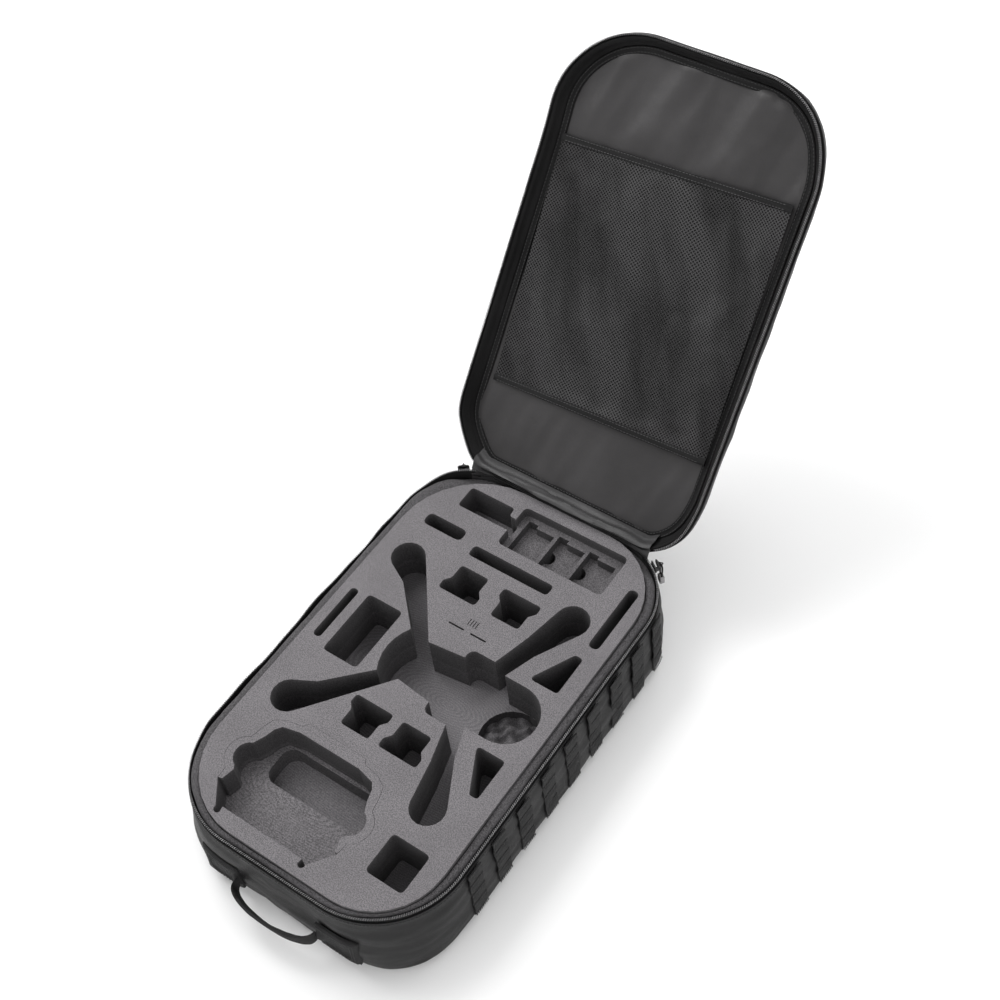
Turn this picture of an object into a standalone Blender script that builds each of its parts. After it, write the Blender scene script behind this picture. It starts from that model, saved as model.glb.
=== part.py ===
"""Drone carrying case: a soft zipped backpack case, open on its hinge, with a cut foam insert.

Frame: +Z up, origin on the floor under the middle of the base. X runs from the plain side to the
side with the webbing, Y from the handle end to the hinge end. Lid parts are drawn shut and then
swung open about the hinge line.
"""
import math

import bmesh
import bpy
from mathutils import Matrix, Vector

# ------------------------------------------------------------------ driving dimensions (metres)
MM = 0.001
GAP = 0.3 * MM
CURVE_GAP = 0.7 * MM           # between two pieces that follow a curve with different facets

HALF_W = 190.5 * MM            # outside of the shell at the rim
HALF_L = 304.5 * MM
RIM_RADIUS = 118 * MM          # corner radius at the zip, at the handle end
HINGE_RADIUS = 100 * MM        # and at the hinge end
FOOT_RADIUS = 92 * MM          # corner radius near the floor
FOOT_FILLET = 14 * MM
SHELL_WALL = 2.2 * MM
SHELL_TOP = 116 * MM
ZIP_PLANE = 126.2 * MM         # where the two rows of teeth meet

FOAM_LEFT, FOAM_RIGHT = -170.7 * MM, 175.3 * MM        # more room is left on the plain side
FOAM_MID_X = (FOAM_LEFT + FOAM_RIGHT) / 2
FOAM_HALF_W = (FOAM_RIGHT - FOAM_LEFT) / 2
FOAM_HALF_L = 293.1 * MM
FOAM_TOP = 134 * MM
FOAM_CORNERS = (92 * MM, 97 * MM, 117 * MM, 104 * MM)   # near right, far right, far left, near left
LAYER_SPLIT = 66 * MM          # floor of the deep cavities
FOAM_BOTTOM = 6 * MM

TAPE_INSET = 2.5 * MM          # outer face of the zip tape, in from the shell's outside
TAPE_THICK = 1.2 * MM
BASE_ZIP_END = 67.5            # degrees round the hinge-end corners where the zip stops
LID_ZIP_END = 56.25            # the lid's half stops sooner, to clear the insert as it swings
PADDING_INSET = 5.6 * MM       # outer face of the padded strip behind the zip

HINGE_Y = 295 * MM
HINGE_Z = 135.6 * MM
OPEN_ANGLE = 128.7             # degrees the lid stands open at rest
LID_FAR_Y = 297 * MM           # the lid's hinge end stops just past the hinge line
LID_RIM = 136.4 * MM
LID_BACK = 174.2 * MM
LID_CROWN_INSET = 30 * MM      # the lid's wall leans in this far from its rim to its back
LINING_Z = 150 * MM
LINING_INSET = 14.5 * MM

DRONE_AXIS_Y = 7.6 * MM        # the drone cavity is symmetric about this line
GIMBAL_X = 115.2 * MM
GIMBAL_RADIUS = 41.9 * MM
REMOTE_AXIS_X = -33.7 * MM     # the remote control's cavity is symmetric about this line
REMOTE_SHELF = 88.4 * MM
REMOTE_PIT_FLOOR = 60.3 * MM
GIMBAL_PIT_FLOOR = 46 * MM

WEBBING_FIRST_Y = -183.5 * MM
WEBBING_PITCH = 49.4 * MM
WEBBING_WIDTH = 25 * MM
WEBBING_THICK = 1.6 * MM
WEBBING_COUNT = 9

HANDLE_Z = 43 * MM
HANDLE_PIVOT = 8 * MM          # how far the handle's swing axis stands off the end wall
HANDLE_HALF_SPAN = 70 * MM
HANDLE_REACH = 31 * MM

SLIDER_ANGLE = 54              # degrees round the corner from the long side, at rest

CORNER_STEPS = 8

# ------------------------------------------------------------------ scene
for old in list(bpy.data.objects):
    bpy.data.objects.remove(old, do_unlink=True)

parts = bpy.data.collections.new("drone_carrying_case")
cutters = bpy.data.collections.new("cutters")
for group in (parts, cutters):
    bpy.context.scene.collection.children.link(group)
cutters.hide_render = True


def material(name, colour, roughness, metallic=0.0):
    made = bpy.data.materials.new(name)
    made.use_nodes = True
    shader = made.node_tree.nodes["Principled BSDF"]
    shader.inputs["Base Color"].default_value = (*colour, 1)
    shader.inputs["Roughness"].default_value = roughness
    shader.inputs["Metallic"].default_value = metallic
    return made


SHELL = material("coated_fabric", (0.045, 0.045, 0.048), 0.5)
LINING = material("lining_fabric", (0.075, 0.072, 0.074), 0.45)
FOAM = material("grey_foam", (0.16, 0.155, 0.157), 0.95)
DARK_FOAM = material("dark_foam", (0.06, 0.06, 0.062), 0.95)
BOARD = material("stiffener_board", (0.03, 0.03, 0.03), 0.6)
TAPE = material("zip_tape", (0.012, 0.012, 0.013), 0.7)
COIL = material("zip_coil", (0.03, 0.03, 0.03), 0.35)
MESH = material("pocket_mesh", (0.02, 0.02, 0.02), 0.6)
WEBBING = material("webbing", (0.035, 0.035, 0.038), 0.6)
METAL = material("slider_metal", (0.05, 0.05, 0.05), 0.4, 0.8)
RUBBER = material("pull_end", (0.3, 0.3, 0.3), 0.5)


# ------------------------------------------------------------------ outlines in plan
def arc(centre_x, centre_y, radius, start, end, steps):
    """Points round a circle from one angle to another, in degrees."""
    points = []
    for index in range(steps + 1):
        angle = math.radians(start + (end - start) * index / steps)
        points.append((centre_x + radius * math.cos(angle), centre_y + radius * math.sin(angle)))
    return points


def rounded(half_w, half_l, radii, steps=CORNER_STEPS):
    """A rectangle with round corners: near right, far right, far left, near left."""
    points = []
    signs = ((1, -1), (1, 1), (-1, 1), (-1, -1))
    for corner, ((sign_x, sign_y), radius) in enumerate(zip(signs, radii)):
        x, y = sign_x * (half_w - radius), sign_y * (half_l - radius)
        start = 90 * corner - 90
        points += arc(x, y, radius, start, start + 90, steps)
    return points


def case_outline(inset, share=1):
    """The case in plan. All corners are alike at the floor, where the share is 0, and differ at the zip."""
    near, far = [FOOT_RADIUS + (radius - FOOT_RADIUS) * share - inset for radius in (RIM_RADIUS, HINGE_RADIUS)]
    return rounded(HALF_W - inset, HALF_L - inset, [near, far, far, near])


def lid_outline(inset):
    """The case outline with the hinge end cut straight at the hinge."""
    return [(x, min(y, LID_FAR_Y - inset)) for x, y in case_outline(inset)]


def open_round(middle_x, half_w, half_l, radii, end_angle):
    """Open path round a rectangle: from one hinge-end corner to the other by the handle end."""
    near_right, far_right, far_left, near_left = radii
    left, right = middle_x - half_w, middle_x + half_w
    end_steps = round(CORNER_STEPS * end_angle / 90)
    path = arc(left + far_left, half_l - far_left, far_left, 180 - end_angle, 180, end_steps)
    path += arc(left + near_left, near_left - half_l, near_left, 180, 270, CORNER_STEPS)
    path += arc(right - near_right, near_right - half_l, near_right, 270, 360, CORNER_STEPS)
    path += arc(right - far_right, half_l - far_right, far_right, 0, end_angle, end_steps)
    return path


def zip_path(inset, end_angle):
    near, far = RIM_RADIUS - inset, HINGE_RADIUS - inset
    return open_round(0, HALF_W - inset, HALF_L - inset, [near, far, far, near], end_angle)


def foam_round(clear):
    """The insert's outline, standing off it by a clearance."""
    radii = [radius + clear for radius in FOAM_CORNERS]
    return [(x + FOAM_MID_X, y) for x, y in rounded(FOAM_HALF_W + clear, FOAM_HALF_L + clear, radii)]


def beside_foam(clear, end_angle):
    radii = [radius + clear for radius in FOAM_CORNERS]
    return open_round(FOAM_MID_X, FOAM_HALF_W + clear, FOAM_HALF_L + clear, radii, end_angle)


def filleted(corners, radius, steps=4):
    """A closed polygon, counter-clockwise or clockwise, with each corner rounded."""
    points = []
    count = len(corners)
    for index, corner in enumerate(corners):
        here = Vector(corner)
        back = Vector(corners[index - 1]) - here
        ahead = Vector(corners[(index + 1) % count]) - here
        half = back.angle(ahead) / 2
        reach = min(radius / math.tan(half), back.length * 0.49, ahead.length * 0.49)
        start, end = here + back.normalized() * reach, here + ahead.normalized() * reach
        for step in range(steps + 1):
            t = step / steps
            bend = start.lerp(here, t).lerp(here.lerp(end, t), t)
            points.append(bend[:])
    return points


def block(x_low, x_high, y_low, y_high, radius=0.0, steps=4):
    """A rectangular pocket's outline, given in millimetres."""
    corners = [(x_low, y_low), (x_high, y_low), (x_high, y_high), (x_low, y_high)]
    corners = [(x * MM, y * MM) for x, y in corners]
    return filleted(corners, radius * MM, steps) if radius else corners


def mirrored_y(points, axis):
    return [(x, 2 * axis - y) for x, y in reversed(points)]


# ------------------------------------------------------------------ solids
def add(name, mesh, finish, group=parts):
    made = bpy.data.objects.new(name, mesh)
    group.objects.link(made)
    if finish:
        mesh.materials.append(finish)
        mesh.shade_smooth()
        mesh.set_sharp_from_angle(angle=math.radians(35))
    else:
        made.hide_render = True
        made.display_type = "WIRE"
    return made


def skin(name, rings, finish, wrap=False, group=parts):
    """Joins rings of equal length with quads. An unwrapped skin gets a cap at each end."""
    shape = bmesh.new()
    rows = [[shape.verts.new(point) for point in ring] for ring in rings]
    count = len(rings[0])
    pairs = list(zip(rows, rows[1:])) + ([(rows[-1], rows[0])] if wrap else [])
    for lower, upper in pairs:
        for index in range(count):
            ahead = (index + 1) % count
            shape.faces.new((lower[index], lower[ahead], upper[ahead], upper[index]))
    if not wrap:
        shape.faces.new(rows[0])
        shape.faces.new(rows[-1])
    bmesh.ops.recalc_face_normals(shape, faces=shape.faces)
    mesh = bpy.data.meshes.new(name)
    shape.to_mesh(mesh)
    shape.free()
    return add(name, mesh, finish, group)


def around(name, outline, profile, finish):
    """Sweeps a closed profile of (inset, height) round a closed outline(inset)."""
    loops = [[(x, y, height) for x, y in outline(inset)] for inset, height in profile]
    rings = [list(section) for section in zip(*loops)]
    return skin(name, rings, finish, wrap=True)


def along_zip(name, profile, end_angle, finish):
    """Sweeps a closed profile of (inset, height) along the zip, with a cap at each end."""
    lines = [[(x, y, height) for x, y in zip_path(inset, end_angle)] for inset, height in profile]
    rings = [list(section) for section in zip(*lines)]
    return skin(name, rings, finish)


def plate(name, outlines, low, high, finish, group=parts):
    """A flat slab from an outer outline and any holes, as a mesh."""
    curve = bpy.data.curves.new(name, "CURVE")
    curve.dimensions = "2D"
    curve.fill_mode = "BOTH"
    curve.extrude = (high - low) / 2
    for outline in outlines:
        spline = curve.splines.new("POLY")
        spline.points.add(len(outline) - 1)
        for point, (x, y) in zip(spline.points, outline):
            point.co = (x, y, 0, 1)
        spline.use_cyclic_u = True
    drawn = bpy.data.objects.new(name + "_outline", curve)
    bpy.context.scene.collection.objects.link(drawn)
    bpy.context.view_layer.update()
    mesh = bpy.data.meshes.new_from_object(drawn.evaluated_get(bpy.context.evaluated_depsgraph_get()))
    bpy.data.objects.remove(drawn)
    mesh.name = name
    mesh.materials.clear()
    shape = bmesh.new()
    shape.from_mesh(mesh)
    bmesh.ops.remove_doubles(shape, verts=shape.verts, dist=0.01 * MM)
    bmesh.ops.translate(shape, verts=shape.verts, vec=(0, 0, (low + high) / 2))
    bmesh.ops.recalc_face_normals(shape, faces=shape.faces)
    shape.to_mesh(mesh)
    shape.free()
    return add(name, mesh, finish, group)


def box(name, low, high, finish, group=parts, bevel=0.0):
    """A box between two corners, with its edges rounded if asked."""
    shape = bmesh.new()
    bmesh.ops.create_cube(shape, size=1)
    size = [b - a for a, b in zip(low, high)]
    bmesh.ops.scale(shape, verts=shape.verts, vec=size)
    if bevel:
        bmesh.ops.bevel(shape, geom=shape.edges, offset=bevel, segments=2, profile=0.5, affect="EDGES")
    middle = [(a + b) / 2 for a, b in zip(low, high)]
    bmesh.ops.translate(shape, verts=shape.verts, vec=middle)
    mesh = bpy.data.meshes.new(name)
    shape.to_mesh(mesh)
    shape.free()
    return add(name, mesh, finish, group)


def boolean(target, tool, operation="DIFFERENCE"):
    modifier = target.modifiers.new(tool.name, "BOOLEAN")
    modifier.operation = operation
    modifier.object = tool
    modifier.solver = "EXACT"


# ------------------------------------------------------------------ base: shell, board and padding
def corner_share(height):
    """The shell's corners are tighter near the floor and rounder at the zip."""
    share = (height - FOOT_FILLET) / (105 * MM - FOOT_FILLET)
    return min(max(share, 0), 1)


def corner_radius(height, at_hinge_end):
    radius = HINGE_RADIUS if at_hinge_end else RIM_RADIUS
    return FOOT_RADIUS + (radius - FOOT_RADIUS) * corner_share(height)


def shell_ring(inset, height):
    return [(x, y, height) for x, y in case_outline(inset, corner_share(height))]


def foot_rings(wall):
    """The rounded bottom edge, at a depth inside the outer surface, from the floor upwards."""
    rings = []
    radius = FOOT_FILLET - wall
    for degrees in (2, 30, 60, 90):
        angle = math.radians(degrees)
        height = FOOT_FILLET - radius * math.cos(angle)
        rings.append(shell_ring(FOOT_FILLET - radius * math.sin(angle), height))
    return rings


def wall_rings(wall):
    return [shell_ring(wall, height) for height in (60 * MM, 105 * MM, SHELL_TOP)]


base_rings = foot_rings(0) + wall_rings(0)
base_rings += list(reversed(foot_rings(SHELL_WALL) + wall_rings(SHELL_WALL)))
base_shell = skin("base_shell", base_rings, SHELL)

plate("base_panel_board", [case_outline(12.5 * MM, 0)], 2.7 * MM, 5.6 * MM, BOARD)

foam_outline = foam_round(0)
FOAM_CLEARANCE = 0.4 * MM
padding_outline = [case_outline(4.1 * MM), foam_round(FOAM_CLEARANCE)]
plate("base_side_padding", padding_outline, 14.5 * MM, 117.5 * MM, DARK_FOAM)

rim_back = zip_path(PADDING_INSET, BASE_ZIP_END)
rim_front = beside_foam(FOAM_CLEARANCE, BASE_ZIP_END)
rim_sections = []
for (back_x, back_y), (front_x, front_y) in zip(rim_back, rim_front):
    rim_sections.append([
        (back_x, back_y, 118 * MM), (back_x, back_y, 126.5 * MM),
        (front_x, front_y, 129.5 * MM), (front_x, front_y, 118 * MM)])
skin("base_rim_padding", rim_sections, DARK_FOAM)

tape_back = TAPE_INSET + TAPE_THICK
coil_front, coil_back = 1.0 * MM, 4.0 * MM
COIL_HEIGHT = 3.5 * MM


def upright(front, back, low, high):
    """A profile: a rectangle between two insets and two heights."""
    return [(front, low), (front, high), (back, high), (back, low)]


def zip_half(name, coil_low, tape_low, tape_high, end_angle):
    """One side of the zip: the row of teeth and the tape that it is sewn to."""
    teeth = upright(coil_front, coil_back, coil_low, coil_low + COIL_HEIGHT)
    along_zip(name + "_zip_coil", teeth, end_angle, COIL)
    along_zip(name + "_zip_tape", upright(TAPE_INSET, tape_back, tape_low, tape_high), end_angle, TAPE)


base_coil_low = ZIP_PLANE - 0.2 * MM - COIL_HEIGHT
zip_half("base", base_coil_low, 110 * MM, base_coil_low - GAP, BASE_ZIP_END)


def hinge_band_path(inset):
    """Along the hinge end of the rim, from just inside one corner to the other."""
    radius = HINGE_RADIUS - inset
    x, y = HALF_W - HINGE_RADIUS, HALF_L - HINGE_RADIUS
    sweep = 90 / CORNER_STEPS
    return arc(x, y, radius, 90 - sweep, 90, 1) + arc(-x, y, radius, 90, 90 + sweep, 1)


band_profile = [
    (TAPE_INSET, 110 * MM), (TAPE_INSET, 118.5 * MM), (7.2 * MM, 126.3 * MM),
    (8.4 * MM, 126.3 * MM), (3.7 * MM, 117.9 * MM), (3.7 * MM, 110 * MM)]
band_lines = [[(x, y, height) for x, y in hinge_band_path(inset)] for inset, height in band_profile]
skin("hinge_gusset", [list(section) for section in zip(*band_lines)], LINING)


# ------------------------------------------------------------------ foam insert
def drone_outline():
    """The drone's cavity: a body, four arms and the gimbal's round end, mirrored about its axis."""
    arm_radius = 22.8
    half = [(-55.0, 35.1), (-63.3, 43.6), (-106.9, 87.4)]
    half += arc(-124.5, 121.9, arm_radius, 237, 38.5, 10)
    half += [(-24.4, 31.3), (27.0, 37.1)]
    half += arc(36.5, 42.1, 9.5, 180, 90, 4)
    half += [(62.7, 51.6), (76.8, 101.4)]
    half += arc(110.0, 151.0, arm_radius, 169, -29, 10)
    half += [(98.6, 82.7), (84.0, 41.9)]
    half += arc(GIMBAL_X / MM, 0, GIMBAL_RADIUS / MM, 90, 0, 8)
    back_radius = 63.0
    back_x = -65.2 + back_radius
    spread = math.degrees(math.asin(35.1 / back_radius))
    back = arc(back_x, 0, back_radius, 180 + spread, 180 - spread, 6)[1:-1]
    lower = [(x, -y) for x, y in reversed(half[:-1])]
    return [(x * MM, y * MM + DRONE_AXIS_Y) for x, y in half + lower + back]


def battery_slot(centre_x, low_y, flare_low):
    """A battery's slot, about square, that widens at one end."""
    main, flare, length = 21.3, 28.4, 42.7
    half = [(main, length), (main, 20.5), (flare, 12.0), (flare, 0)]
    corners = [(-x, y) for x, y in half] + list(reversed(half))
    if not flare_low:
        corners = [(x, length - y) for x, y in reversed(corners)]
    corners = [((centre_x + x) * MM, (low_y + y) * MM) for x, y in corners]
    return filleted(corners, 5 * MM)


def corner_pocket():
    """A tapered pocket beside the gimbal."""
    corners = [(110.6, 61.9), (152, 61.9), (152, 119.3), (140.4, 119.3)]
    return filleted([(x * MM, y * MM) for x, y in corners], 5 * MM)


def remote_ring(inner):
    """Half of the remote's U-shaped line, from the near end up to the middle, in millimetres."""
    if inner:
        side = [(85.5, -244.5), (81.8, -228)]
        side += arc(77.9, -205.2, 18.9, -68, 68, 8)
        side += [(78.6, -174.3), (74.6, -160), (68.5, -152), (44.8, -146.6)]
    else:
        side = [(90.8, -246)]
        side += arc(81.0, -206.2, 26.6, -65, 65, 8)
        side += [(88.9, -165), (84.0, -150), (69.5, -142), (47.7, -138.2), (43.5, -131.2)]
    return side


def about_remote_axis(side):
    """Both sides of the remote's outline, from the near right round to the near left."""
    right = [(REMOTE_AXIS_X + x * MM, y * MM) for x, y in side]
    left = [(REMOTE_AXIS_X - x * MM, y * MM) for x, y in reversed(side)]
    return right + left


def remote_opening():
    """The whole shelf: the U-shaped line closed across the near end, with two small round notches."""
    near_left = [(-60.5, -272)] + arc(-63.9, -277.3, 5, -20, -200, 5)
    near = [(x, y) for x, y in near_left]
    near_right = [(-x, y) for x, y in reversed(near)]
    near_end = [(REMOTE_AXIS_X + x * MM, y * MM) for x, y in near[::-1] + near_right[::-1]]
    return about_remote_axis(remote_ring(False)) + near_end


remote_pit = rounded(71.5 * MM, 25.7 * MM, [15.6 * MM] * 4, 4)
remote_pit = [(x + REMOTE_AXIS_X + 3.4 * MM, y - 177.3 * MM) for x, y in remote_pit]

through_pockets = [
    drone_outline(),
    battery_slot(-35.9, 112.7, True),
    battery_slot(38.1, 112.3, False),
    battery_slot(-25.9, -110.0, False),
    battery_slot(38.7, -110.2, True),
    corner_pocket(),
    mirrored_y(corner_pocket(), DRONE_AXIS_Y),
    block(-142.7, -82.0, 184.3, 202.9, 8),
    block(-61.2, 61.4, 173.3, 190.2, 6),
    block(144.8, 159.5, 138.5, 237.6, 7.2),
    block(-157.0, -145.3, -28.6, 54.0, 5.7),
    block(-131.5, -78.2, -39.2, 56.6, 6),
    block(96.0, 148.9, -244.3, -190.2, 6),
    remote_pit,
]
foam_master = plate("foam_master", [foam_outline] + through_pockets, 60 * MM, 140 * MM, None, cutters)

CUT_TOP = 140 * MM
far_left_pocket = plate("far_left_pocket_cut", [filleted([
    (x * MM, y * MM) for x, y in (
        (-119.3, 231.9), (-38.0, 231.9), (-38.0, 252.3), (-50.8, 252.3), (-50.8, 265.6), (-119.3, 265.6))
], 5 * MM)], 84 * MM, CUT_TOP, None, cutters)
tray = plate("tray_cut", [block(-39.9, 118.7, 208.5, 275.5, 8)], 117.4 * MM, CUT_TOP, None, cutters)

COMPARTMENT_LEFTS = (-30.9, 16.8, 63.9)
compartments = []
finger_holes = []
for left in COMPARTMENT_LEFTS:
    right = left + 42.5
    compartments.append([(x * MM, y * MM) for x, y in (
        (left, 213.2), (right, 213.2), (right, 263.3), (left + 14.5, 263.3), (left + 14.5, 268.6), (left, 268.6))])
    if left > 0:
        finger_holes.append([(x * MM, y * MM) for x, y in arc(left, 239.5, 9.8, -90, 90, 8)])
compartment_cut = plate("compartment_cut", compartments, 103 * MM, 125 * MM, None, cutters)
finger_cut = plate("finger_hole_cut", finger_holes, 84 * MM, 110 * MM, None, cutters)

card_slits = [block(-20.4, 2.4, 75.4, 77.7), block(12.5, 36.0, 75.4, 77.7)]
card_slits += [block(x - 0.6, x + 0.6, 85.4, 95.4) for x in (1.5, 5.4, 9.3, 13.3)]
card_cut = plate("card_slit_cut", card_slits, 120 * MM, CUT_TOP, None, cutters)
shelf_cut = plate("remote_shelf_cut", [remote_opening()], REMOTE_SHELF, CUT_TOP, None, cutters)

# The insert is one cut piece. It's split here along lines that run through the drone's cavity.
EDGE_X, EDGE_Y = 180, 300
foam_blocks = {
    "foam_far_block": [
        (-EDGE_X, 164), (110, 164), (110, 158.6), (EDGE_X, 158.6), (EDGE_X, EDGE_Y), (-EDGE_X, EDGE_Y)],
    "foam_upper_block": [
        (-EDGE_X, 129.5), (-124.5, 129.5), (-30, 27), (65, 25), (110, 158.6), (110, 164), (-EDGE_X, 164)],
    "foam_left_block": [
        (-EDGE_X, -114.3), (-124.5, -114.3), (-30, -12), (-30, 27), (-124.5, 129.5), (-EDGE_X, 129.5)],
    "foam_lower_block": [(-108, -122), (85, -122), (70, -10), (-30, -10)],
    "foam_right_far_block": [(70, 7.6), (EDGE_X, 7.6), (EDGE_X, 158.6), (110, 158.6), (70, 25)],
    "foam_right_near_block": [(70, 7.6), (70, -20), (110, -143.4), (EDGE_X, -143.4), (EDGE_X, 7.6)],
    "foam_corner_block": [
        (80, -EDGE_Y), (EDGE_X, -EDGE_Y), (EDGE_X, -143.4), (110, -143.4), (85, -122), (80, -122)],
    "foam_near_block": [
        (-EDGE_X, -EDGE_Y), (80, -EDGE_Y), (80, -122), (-108, -122), (-124.5, -114.3), (-EDGE_X, -114.3)],
}
extra_cuts = {
    "foam_far_block": (far_left_pocket, tray, compartment_cut, finger_cut),
    "foam_upper_block": (card_cut,),
    "foam_near_block": (shelf_cut,),
}


def shrunk(corners, distance):
    """A polygon with every edge moved inwards."""
    count = len(corners)
    turning = sum(
        corners[i - 1][0] * corners[i][1] - corners[i][0] * corners[i - 1][1] for i in range(count))
    points = []
    for index, corner in enumerate(corners):
        here = Vector(corner)
        before = (here - Vector(corners[index - 1])).normalized()
        after = (Vector(corners[(index + 1) % count]) - here).normalized()
        side = distance if turning > 0 else -distance
        inward = Vector((-before.y - after.y, before.x + after.x))
        points.append((here + inward * side / (1 + before.dot(after)))[:])
    return points


for block_name, corners in foam_blocks.items():
    outline = shrunk([(x * MM, y * MM) for x, y in corners], GAP / 2)
    foam_block = plate(block_name, [outline], LAYER_SPLIT, FOAM_TOP, FOAM)
    boolean(foam_block, foam_master, "INTERSECT")
    for cut in extra_cuts.get(block_name, ()):
        boolean(foam_block, cut)

foam_base = plate("foam_base_layer", [foam_outline], FOAM_BOTTOM, LAYER_SPLIT - GAP, FOAM)
gimbal_pit = [(x, y + DRONE_AXIS_Y) for x, y in arc(GIMBAL_X, 0, GIMBAL_RADIUS, 0, 345, 23)]
boolean(foam_base, plate("gimbal_pit_cut", [gimbal_pit], GIMBAL_PIT_FLOOR, 80 * MM, None, cutters))
boolean(foam_base, plate("remote_pit_cut", [remote_pit], REMOTE_PIT_FLOOR, 80 * MM, None, cutters))

pad_outline = [(x, y + DRONE_AXIS_Y) for x, y in arc(GIMBAL_X, 0, GIMBAL_RADIUS - 0.6 * MM, 0, 345, 23)]
plate("egg_crate_pad", [pad_outline], GIMBAL_PIT_FLOOR + GAP, 54.5 * MM, DARK_FOAM)

ring_clearance = 0.4
ring_outer = [(x - ring_clearance, y - ring_clearance * 0.5) for x, y in remote_ring(False)]
ring_outer[0] = (ring_outer[0][0], -245.4)
ring_inner = remote_ring(True)
ring_points = about_remote_axis(ring_outer) + list(reversed(about_remote_axis(ring_inner)))
plate("remote_ring_frame", [ring_points], REMOTE_SHELF + GAP, FOAM_TOP, FOAM)


# ------------------------------------------------------------------ webbing on the right wall
def wall_x(y, height):
    """Outside of the right wall at a place along it."""
    radius = corner_radius(height, y > 0)
    past = abs(y) - (HALF_L - radius)
    if past <= 0:
        return HALF_W
    return HALF_W - radius + math.sqrt(radius ** 2 - past ** 2)


def webbing_strip(name, y_low):
    """A flat strip down the wall, standing just clear of it."""
    rings = []
    for height in (114.5 * MM, 90 * MM, 65 * MM, 40 * MM, 17 * MM):
        line = [y_low, y_low + WEBBING_WIDTH / 2, y_low + WEBBING_WIDTH]
        near = [(wall_x(y, height) + CURVE_GAP, y, height) for y in line]
        far = [(wall_x(y, height) + CURVE_GAP + WEBBING_THICK, y, height) for y in reversed(line)]
        rings.append(near + far)
    skin(name, rings, WEBBING)


for number in range(WEBBING_COUNT):
    webbing_strip(f"webbing_strip_{number + 1}", WEBBING_FIRST_Y + number * WEBBING_PITCH)


# ------------------------------------------------------------------ carry handle on the near end
def end_wall_y(x, height):
    """Outside of the handle-end wall at a place across it."""
    radius = corner_radius(height, False)
    past = abs(x) - (HALF_W - radius)
    if past <= 0:
        return -HALF_L
    return -(HALF_L - radius + math.sqrt(radius ** 2 - past ** 2))


def handle_patch(name, side):
    """A sewn patch that holds one end of the handle, following the wall round its corner."""
    rings = []
    for x in (62 * MM, 76 * MM, 90 * MM, 104 * MM, 118 * MM):
        thick = 7 * MM if x < 70 * MM else 2.6 * MM
        heights = (HANDLE_Z - 25 * MM, HANDLE_Z, HANDLE_Z + 25 * MM)
        back = [(side * x, end_wall_y(x, height) - CURVE_GAP, height) for height in heights]
        front = [(side * x, end_wall_y(x, height) - CURVE_GAP - thick, height) for height in reversed(heights)]
        rings.append(back + front)
    skin(name, rings, WEBBING)


handle_patch("handle_patch_left", -1)
handle_patch("handle_patch_right", 1)

handle_rings = []
for step in range(17):
    angle = math.pi * step / 16
    x = -HANDLE_HALF_SPAN * math.cos(angle) * 0.86
    out = HANDLE_PIVOT + (HANDLE_REACH - HANDLE_PIVOT) * math.sin(angle) ** 0.8
    grip = math.sin(angle) ** 2
    half_height = (7 + 1.5 * grip) * MM
    half_thick = (1.5 + 1.5 * grip) * MM
    slope = math.atan2(-(HANDLE_REACH - HANDLE_PIVOT) * math.cos(angle), HANDLE_HALF_SPAN * math.sin(angle) + 0.02)
    normal = (math.sin(slope) * 1.0, -math.cos(slope))
    ring = []
    for along, up in ((-1, -1), (1, -1), (1, 1), (-1, 1)):
        px = x + normal[0] * half_thick * along
        py = -HALF_L - out + normal[1] * half_thick * along
        ring.append((px, py, HANDLE_Z + half_height * up))
    handle_rings.append(ring)
handle = skin("carry_handle", handle_rings, WEBBING)


# ------------------------------------------------------------------ zip sliders and their pulls
def on_corner(side, outset, height):
    """A place outside the hinge-end corner, at the slider's angle, for one side."""
    angle = math.radians(SLIDER_ANGLE)
    radius = HINGE_RADIUS + outset
    x = HALF_W - HINGE_RADIUS + radius * math.cos(angle)
    y = HALF_L - HINGE_RADIUS + radius * math.sin(angle)
    return Vector((side * x, y, height))


def turned(made, side, centre):
    """Turns a piece drawn at the origin, long way along X, to lie along the zip, and places it."""
    made.rotation_euler = (0, 0, side * math.radians(SLIDER_ANGLE - 90))
    made.location = centre


def pull_loop(name):
    """A short loop of cord, hanging from the slider's eye, as one bent tube."""
    curve = bpy.data.curves.new(name, "CURVE")
    curve.dimensions = "3D"
    curve.bevel_depth = 1.2 * MM
    curve.bevel_resolution = 2
    curve.use_fill_caps = True
    points = [(-2.6, 0, -25)] + [(x, 0, z) for x, z in arc(0, -4.5, 4.5, 180, 0, 8)] + [(2.6, 0, -25)]
    spline = curve.splines.new("POLY")
    spline.points.add(len(points) - 1)
    for point, place in zip(spline.points, points):
        point.co = (*[value * MM for value in place], 1)
    return curve


PULL_OUTSET, PULL_Z = 10.2 * MM, 128 * MM     # where the cord hangs in the slider's eye
SLIDER_OUTSET, SLIDER_Z = 3.8 * MM, 127 * MM

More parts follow.
